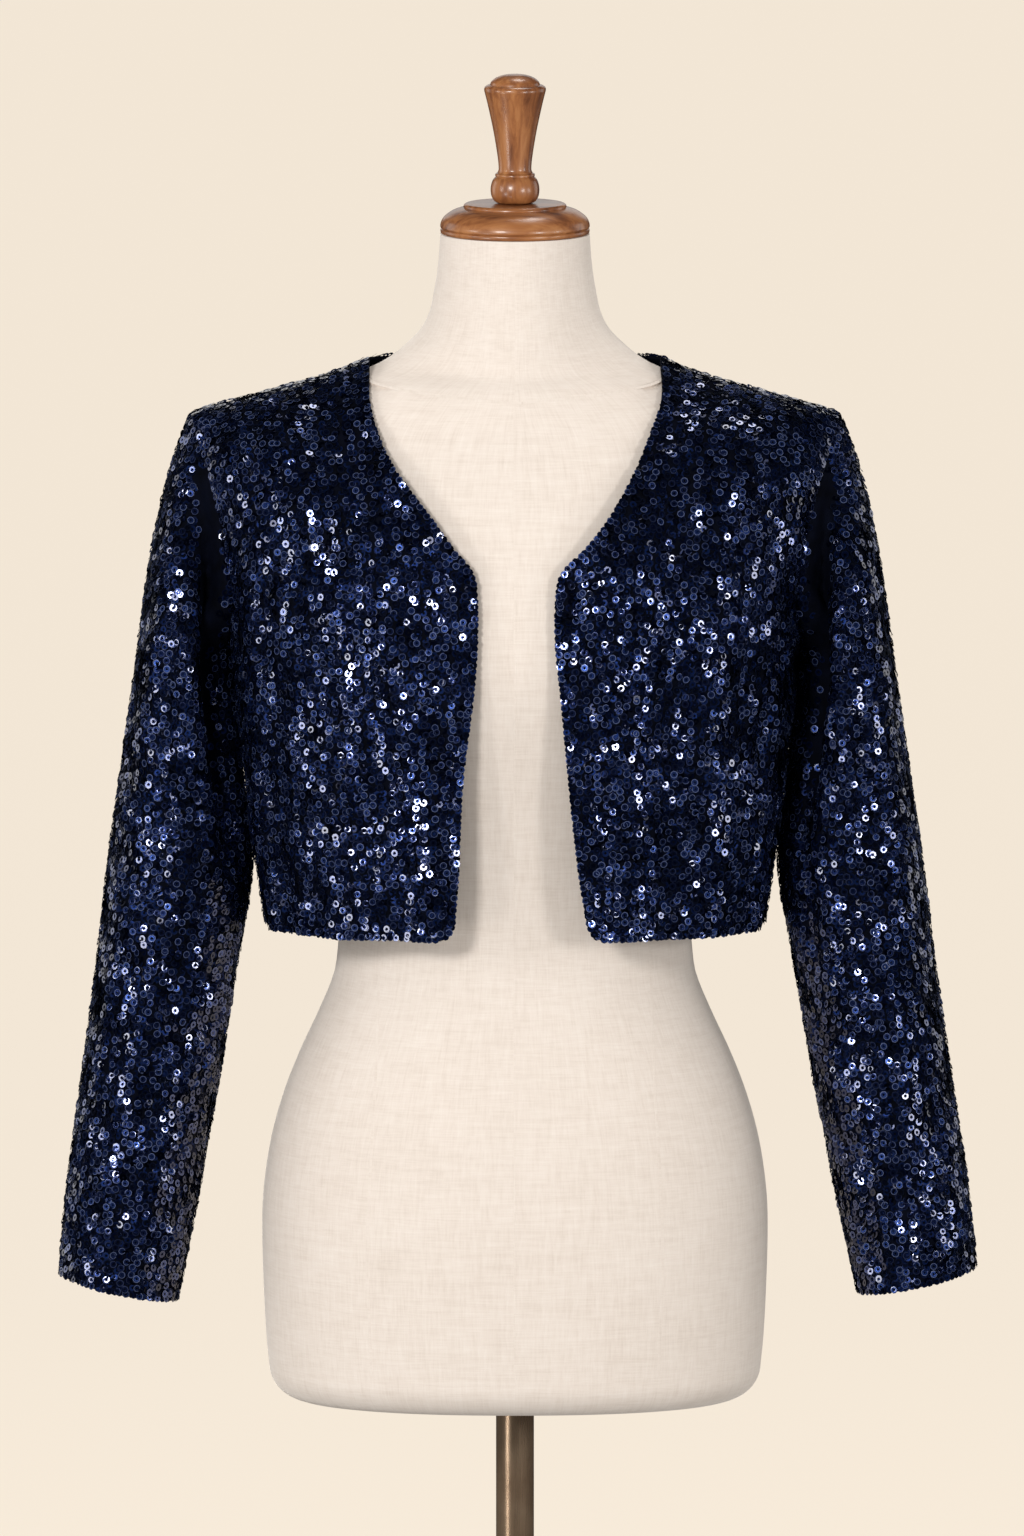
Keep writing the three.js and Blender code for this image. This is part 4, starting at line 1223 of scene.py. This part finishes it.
for side, sign in SIDES.items():
    places = np.concatenate([
        sleeve_lines(side, UNDER_PITCH, UNDER_STRAY, 0),
        sleeve_lines(side, TOP_PITCH, TOP_STRAY, 1),
        sleeve_ring(side, HEAD_RING_ROW),
        sleeve_ring(side, CUFF_ROW),
    ])
    places = places[places[:, 0] <= CUFF_ROW + 0.01]
    mirror = np.array([sign, 1, 1])
    made = SEQUINS["cloth_sleeve_" + side] = []
    for part, keep in (("upper", places[:, 0] < HALF_ROW), ("lower", places[:, 0] >= HALF_ROW)):
        row, around, top = places[keep].T
        # Sequins deep in the crease beside the armhole are left off, so the near-black backing shows there as
        # painted shade
        depth = valley_depth(sleeve_base(row, around, side), around)
        seen = depth < rng.uniform(*VALLEY_BARE, len(depth))
        row, around, top = row[seen], around[seen], top[seen]
        skin, _, normal, down = sleeve_skin(row, around, side)
        name = "sequins_sleeve_" + side + "_" + part
        made.append(sequins(name, skin * mirror, normal * mirror, down * mirror, top > 0))


# Dress form

def form_ring(width, front, back, power, turn, z):
    """Points round the form: turn 0 is the centre front and a quarter turn the wearer's left."""
    across = np.sign(np.sin(turn)) * np.abs(np.sin(turn)) ** (2 / power)
    deep = np.abs(np.cos(turn)) ** (2 / power)
    y = np.where(np.cos(turn) > 0, -front, back) * deep
    return np.stack(np.broadcast_arrays(width * across, y, z), -1)


def form_point(turn, z):
    """A point of the form's plain surface."""
    return form_ring(*(along(FORM, name, z) for name in ("width", "front", "back", "power")), turn, z)


def under_cloth(p):
    """Points of the form, drawn in to lie under the cloth where the jacket's shoulders cover them."""
    z = p[..., 2] + UNDER_CLOTH_BELOW
    reach = np.hypot(p[..., 0], p[..., 1])
    grow = 1 + UNDER_CLOTH_INSIDE / reach

    def covered(share):
        q = np.stack([p[..., 0] * share * grow, p[..., 1] * share * grow, z], -1)
        return body_field(q, True) < 0

    low, high = np.zeros(reach.shape), np.ones(reach.shape)
    inside = covered(high)
    for _ in range(HALVINGS):
        middle = (low + high) / 2
        hit = covered(middle)
        low, high = np.where(hit, middle, low), np.where(hit, high, middle)
    open_neck = along(FRONT_EDGE, "right", p[..., 2]) - np.abs(p[..., 0])
    bare = np.where(p[..., 1] < 0, soften(open_neck / NECK_BLEND), 0)
    scale = mix(low, 1, bare)
    kept = inside | (p[..., 2] < CHEST_Z) | (z > NECK_Z + 1)
    scale = np.where(kept, 1, scale)[..., None]
    return np.concatenate([p[..., :2] * scale, p[..., 2:]], -1)


FORM_COLUMNS = 144
FORM_EDGE_STEPS = 12
FORM_SHOULDER_Z, FORM_NECK_Z = 1390, 1480
FORM_STEP, SHOULDER_STEP, NECK_LEVELS = 7.5, 3.0, 10
COVER_GIRTH = 0.92


def form_grid():
    """Rings of points of the cover: round the rolled lower edge, then up to the neck's top."""
    turn = np.linspace(0, 2 * np.pi, FORM_COLUMNS, endpoint=False)[None, :]
    lowest = {name: FORM[name][0] for name in FORM}
    rows = []
    for step in range(FORM_EDGE_STEPS):
        roll = np.pi / 2 * (1 - step / FORM_EDGE_STEPS)
        inset = FORM_EDGE_RADIUS * (1 - math.cos(roll))
        z = lowest["z"] - FORM_EDGE_RADIUS * math.sin(roll)
        sizes = [lowest[name] - inset for name in ("width", "front", "back")]
        rows.append(form_ring(*sizes, lowest["power"], turn, z))
    levels = np.concatenate([
        np.arange(lowest["z"], FORM_SHOULDER_Z, FORM_STEP),
        np.arange(FORM_SHOULDER_Z, FORM_NECK_Z, SHOULDER_STEP),
        np.linspace(FORM_NECK_Z, NECK_TOP_Z, NECK_LEVELS),
    ])
    rows.append(under_cloth(form_point(turn, levels[:, None])))
    return np.concatenate(rows)


def form_cover():
    """The linen cover. Its weave runs round and up, and flat over the two ends."""
    grid = form_grid()
    vertices, faces = capped(grid, grid[-1, 0, 2])
    piece = finished("form_cover", vertices, faces, LINEN)
    around = np.linspace(0, 1, FORM_COLUMNS, endpoint=False)[faces[0] % FORM_COLUMNS]
    around = np.where((around.max(1, keepdims=True) > 0.9) & (around < 0.5), around + 1, around)
    flat = np.stack([around * COVER_GIRTH, vertices[faces[0], 2] * MM], -1).reshape(-1, 2)
    ends = vertices[np.concatenate(faces[1:]).ravel(), :2] * MM
    lay_uv(piece, "cover", np.concatenate([flat, ends]))
    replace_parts(piece, "dress_form")


SEAM_SECTION = table("""
across height
-1.3 -0.12
-0.55 0.16
-0.12 0.02
0.12 0.02
0.55 0.16
1.3 -0.12
""")
SEAM_LOW_Z = 735
CENTRE_FRONT_TOP_Z, CENTRE_BACK_TOP_Z, PRINCESS_TOP_Z = 1415, 1424, 1240
CENTRE_POINTS, PRINCESS_POINTS, NECK_POINTS = 120, 110, 181
OFF_CENTRE = 0.0001
NECK_SEAM_Z, NECK_SEAM_RISE, NECK_SEAM_POWER = 1415.5, 26, 1.2
PRINCESS = table("""
z x
735 100
825 103
949 97
1050 94
1150 96
1240 104
""")


def form_seam(name, turn, z):
    """A pressed seam of the cover along a line of turns and heights."""
    path = form_point(turn, z)
    round_way = form_point(turn + 0.02, z) - form_point(turn - 0.02, z)
    up_way = form_point(turn, z + 0.5) - form_point(turn, z - 0.5)
    normal = unit(np.cross(round_way, up_way))
    side_way = unit(np.cross(np.gradient(path, axis=0), normal))
    offsets = SEAM_SECTION["across"][None, :, None] * side_way[:, None, :]
    heights = SEAM_SECTION["height"][None, :, None] * normal[:, None, :]
    grid = path[:, None, :] + offsets + heights
    faces = grid_quads(*grid.shape[:2])
    piece = finished(name, grid, faces, LINEN, None)
    lay_uv(piece, "cover", grid.reshape(-1, 3)[faces.ravel()][:, [0, 2]] * MM)


form_cover()
for name, turn, top_z in (
    ("seam_centre_front", OFF_CENTRE, CENTRE_FRONT_TOP_Z),
    ("seam_centre_back", np.pi + OFF_CENTRE, CENTRE_BACK_TOP_Z),
):
    form_seam(name, np.full(CENTRE_POINTS, turn), np.linspace(SEAM_LOW_Z, top_z, CENTRE_POINTS))
princess_z = np.linspace(SEAM_LOW_Z, PRINCESS_TOP_Z, PRINCESS_POINTS)
princess_share = along(PRINCESS, "x", princess_z) / along(FORM, "width", princess_z)
princess_turn = np.arcsin(princess_share ** (along(FORM, "power", princess_z) / 2))
for name, turn in (
    ("seam_front_left", princess_turn),
    ("seam_front_right", -princess_turn),
    ("seam_back_left", np.pi - princess_turn),
    ("seam_back_right", np.pi + princess_turn),
):
    form_seam(name, turn, princess_z)
neck_turn = np.linspace(-np.pi, np.pi, NECK_POINTS)
neck_rise = NECK_SEAM_RISE * np.sin(np.abs(neck_turn) / 2) ** NECK_SEAM_POWER
form_seam("seam_neck", neck_turn, NECK_SEAM_Z + neck_rise)


# Turned wood, pole and base

def profile_curve(profile, per_span):
    """A smooth curve through a profile's points, with its crisp edges kept."""
    points = np.stack([profile["r"], profile["h"]], -1)
    crisp = profile["crisp"] > 0
    crisp[0] = crisp[-1] = True
    curve = [points[0]]
    for at in range(len(points) - 1):
        a, b = points[at], points[at + 1]
        start = b - a if crisp[at] else (b - points[at - 1]) / 2
        end = b - a if crisp[at + 1] else (points[at + 2] - a) / 2
        for t in np.linspace(0, 1, per_span + 1)[1:]:
            bend = (2 * t ** 3 - 3 * t ** 2 + 1) * a + (t ** 3 - 2 * t ** 2 + t) * start
            curve.append(bend + (-2 * t ** 3 + 3 * t ** 2) * b + (t ** 3 - t ** 2) * end)
    return np.array(curve)


def turned(name, curve, foot_z, sides, look, slot, node):
    """A piece of revolution, closed at its ends."""
    turn = np.linspace(0, 2 * np.pi, sides, endpoint=False)
    rings = curve[curve[:, 0] > 0.01]
    grid = np.stack([
        rings[:, :1] * np.cos(turn)[None, :],
        rings[:, :1] * np.sin(turn)[None, :],
        np.broadcast_to(rings[:, 1:] + foot_z, (len(rings), sides)),
    ], -1)
    vertices, faces = capped(grid, curve[-1, 1] + foot_z)
    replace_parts(finished(name, vertices, faces, look, TURNED_CRISP), node)


TURNED_CRISP = 35
SPAN_STEPS = 5
POLE_FOOT_Z, POLE_TOP_Z = BASE_THICKNESS + SEAM_GAP, FORM_BOTTOM_Z - SEAM_GAP
POLE_BEVEL = 0.6
pole_curve = np.array([
    (POLE_RADIUS - POLE_BEVEL, POLE_FOOT_Z),
    (POLE_RADIUS, POLE_FOOT_Z + POLE_BEVEL),
    (POLE_RADIUS, POLE_TOP_Z - POLE_BEVEL),
    (POLE_RADIUS - POLE_BEVEL, POLE_TOP_Z),
])
base_curve = np.array([
    (BASE_RADIUS - 1, 0),
    (BASE_RADIUS - 0.3, 0.3),
    (BASE_RADIUS, 1),
    (BASE_RADIUS, BASE_THICKNESS - 2),
    (BASE_RADIUS - 0.6, BASE_THICKNESS - 0.6),
    (BASE_RADIUS - 2, BASE_THICKNESS),
])
cap_curve, finial_curve = profile_curve(CAP_PROFILE, SPAN_STEPS), profile_curve(FINIAL_PROFILE, SPAN_STEPS)
turned("cap_wood", cap_curve, CAP_FOOT_Z, 128, CAP_WOOD, "turned_wood", "neck_cap")
turned("finial_wood", finial_curve, FINIAL_FOOT_Z, 96, FINIAL_WOOD, "turned_wood", "finial")
turned("pole_bronze", pole_curve, 0, 96, POLE_BRONZE, "bronze", "pole")
turned("base_bronze", base_curve, 0, 160, BASE_BRONZE, "bronze", "base")


# Floor, light and camera

BACKDROP = (0.871, 0.776, 0.658, 1)
FLOOR_REACH, FLOOR_DROP = 60, 0.0004
LIGHT_COLOR = (1.0, 0.985, 0.96)
CAMERA_DISTANCE, CAMERA_RISE = 14.0, math.radians(8)
CAMERA_TARGET = (-0.0021, 0, 1.15)
SENSOR_WIDTH = 36
PIXELS_PER_METRE, PHOTO_HEIGHT = 1430, 1536


def cleared(owner):
    """The owner's node tree, emptied."""
    owner.use_nodes = True
    owner.node_tree.nodes.clear()
    return owner.node_tree


def joined(tree, kind, first, second):
    """The last two inputs of a new mix or add node, fed by two shaders."""
    made = add_node(tree, kind)
    link(tree, first.outputs[0], made.inputs[-2])
    link(tree, second.outputs[0], made.inputs[-1])
    return made


def stage_floor():
    made = bpy.data.materials.new("pale_floor")
    tree = cleared(made)
    glow = add_node(tree, "ShaderNodeEmission", {"Color": BACKDROP, "Strength": 0.93})
    matt = add_node(tree, "ShaderNodeBsdfDiffuse", {"Color": (0.2, 0.18, 0.15, 1)})
    both = joined(tree, "ShaderNodeAddShader", glow, matt)
    link(tree, both.outputs[0], add_node(tree, "ShaderNodeOutputMaterial").inputs["Surface"])
    mesh = bpy.data.meshes.new("studio_floor")
    ends = ((-1, -1), (1, -1), (1, 1), (-1, 1))
    mesh.from_pydata([(x * FLOOR_REACH, y * FLOOR_REACH, -FLOOR_DROP) for x, y in ends], [], [(0, 1, 2, 3)])
    mesh.materials.append(made)
    floor = bpy.data.objects.new("studio_floor", mesh)
    bpy.context.scene.collection.objects.link(floor)
    floor.visible_diffuse = False
    floor.visible_glossy = False


def studio_world():
    """A dim room, dimmer still in reflections, behind which the camera sees the pale backdrop."""
    world = bpy.data.worlds.new("studio")
    bpy.context.scene.world = world
    tree = cleared(world)
    seen, lit, mirrored = (
        add_node(tree, "ShaderNodeBackground", {"Color": color, "Strength": strength})
        for color, strength in ((BACKDROP, 1.0), ((1.0, 0.97, 0.93, 1), 0.4), ((0.7, 0.82, 1.0, 1), 0.022))
    )
    path = add_node(tree, "ShaderNodeLightPath")
    shine = joined(tree, "ShaderNodeMixShader", lit, mirrored)
    link(tree, path.outputs["Is Glossy Ray"], shine.inputs["Fac"])
    both = joined(tree, "ShaderNodeMixShader", shine, seen)
    link(tree, path.outputs["Is Camera Ray"], both.inputs["Fac"])
    link(tree, both.outputs[0], add_node(tree, "ShaderNodeOutputWorld").inputs["Surface"])


def softbox(name, place, aim_z, size, power):
    """A rectangular light, turned to a height on the axis of the form."""
    light = bpy.data.lights.new(name, "AREA")
    light.shape = "RECTANGLE"
    light.size, light.size_y = size
    light.energy = power
    light.color = LIGHT_COLOR
    obj = bpy.data.objects.new(name, light)
    obj.location = place
    way = np.array((0, 0, aim_z)) - np.array(place)
    turn = math.atan2(way[0], way[1])
    tilt = math.atan2(way[2], math.hypot(way[0], way[1]))
    obj.rotation_euler = (math.pi / 2 + tilt, 0, -turn)
    bpy.context.scene.collection.objects.link(obj)


def photo_camera():
    """The photo's view: level with the chest from 14 m, 8 degrees above the horizon."""
    camera = bpy.data.cameras.new("photo_camera")
    camera.sensor_width = SENSOR_WIDTH
    camera.lens = SENSOR_WIDTH * PIXELS_PER_METRE * CAMERA_DISTANCE / math.cos(CAMERA_RISE) / PHOTO_HEIGHT
    camera.clip_end = 200
    obj = bpy.data.objects.new("photo_camera", camera)
    x, _, z = CAMERA_TARGET
    obj.location = (x, -CAMERA_DISTANCE, z + CAMERA_DISTANCE * math.tan(CAMERA_RISE))
    obj.rotation_euler = (math.pi / 2 - CAMERA_RISE, 0, 0)
    bpy.context.scene.collection.objects.link(obj)
    bpy.context.scene.camera = obj


stage_floor()
studio_world()
for name, place, aim_z, size, power in (
    ("key_softbox", (-1.25, -3.1, 2.35), 1.2, (0.57, 0.57), 59),
    ("fill_softbox", (2.0, -2.6, 1.6), 1.1, (0.5, 0.6), 24),
    ("left_softbox", (-3.0, -1.3, 1.9), 1.15, (0.5, 0.9), 14),
    ("right_softbox", (3.0, -1.2, 1.5), 1.15, (0.5, 0.9), 12),
    ("low_softbox", (-2.3, -2.2, 0.5), 0.75, (0.5, 0.9), 14),
    ("top_softbox", (0.3, 0.9, 4.0), 1.3, (0.8, 0.8), 16),
    ("back_panel", (0, 4.0, 2.45), 1.4, (3.2, 1.5), 12),
    ("left_panel", (-2.7, 1.5, 1.7), 1.2, (1.2, 1.9), 9),
    ("right_panel", (2.7, 1.6, 1.7), 1.2, (1.2, 1.9), 8),
):
    softbox(name, place, aim_z, size, power)
photo_camera()
bpy.context.scene.view_settings.view_transform = "Standard"
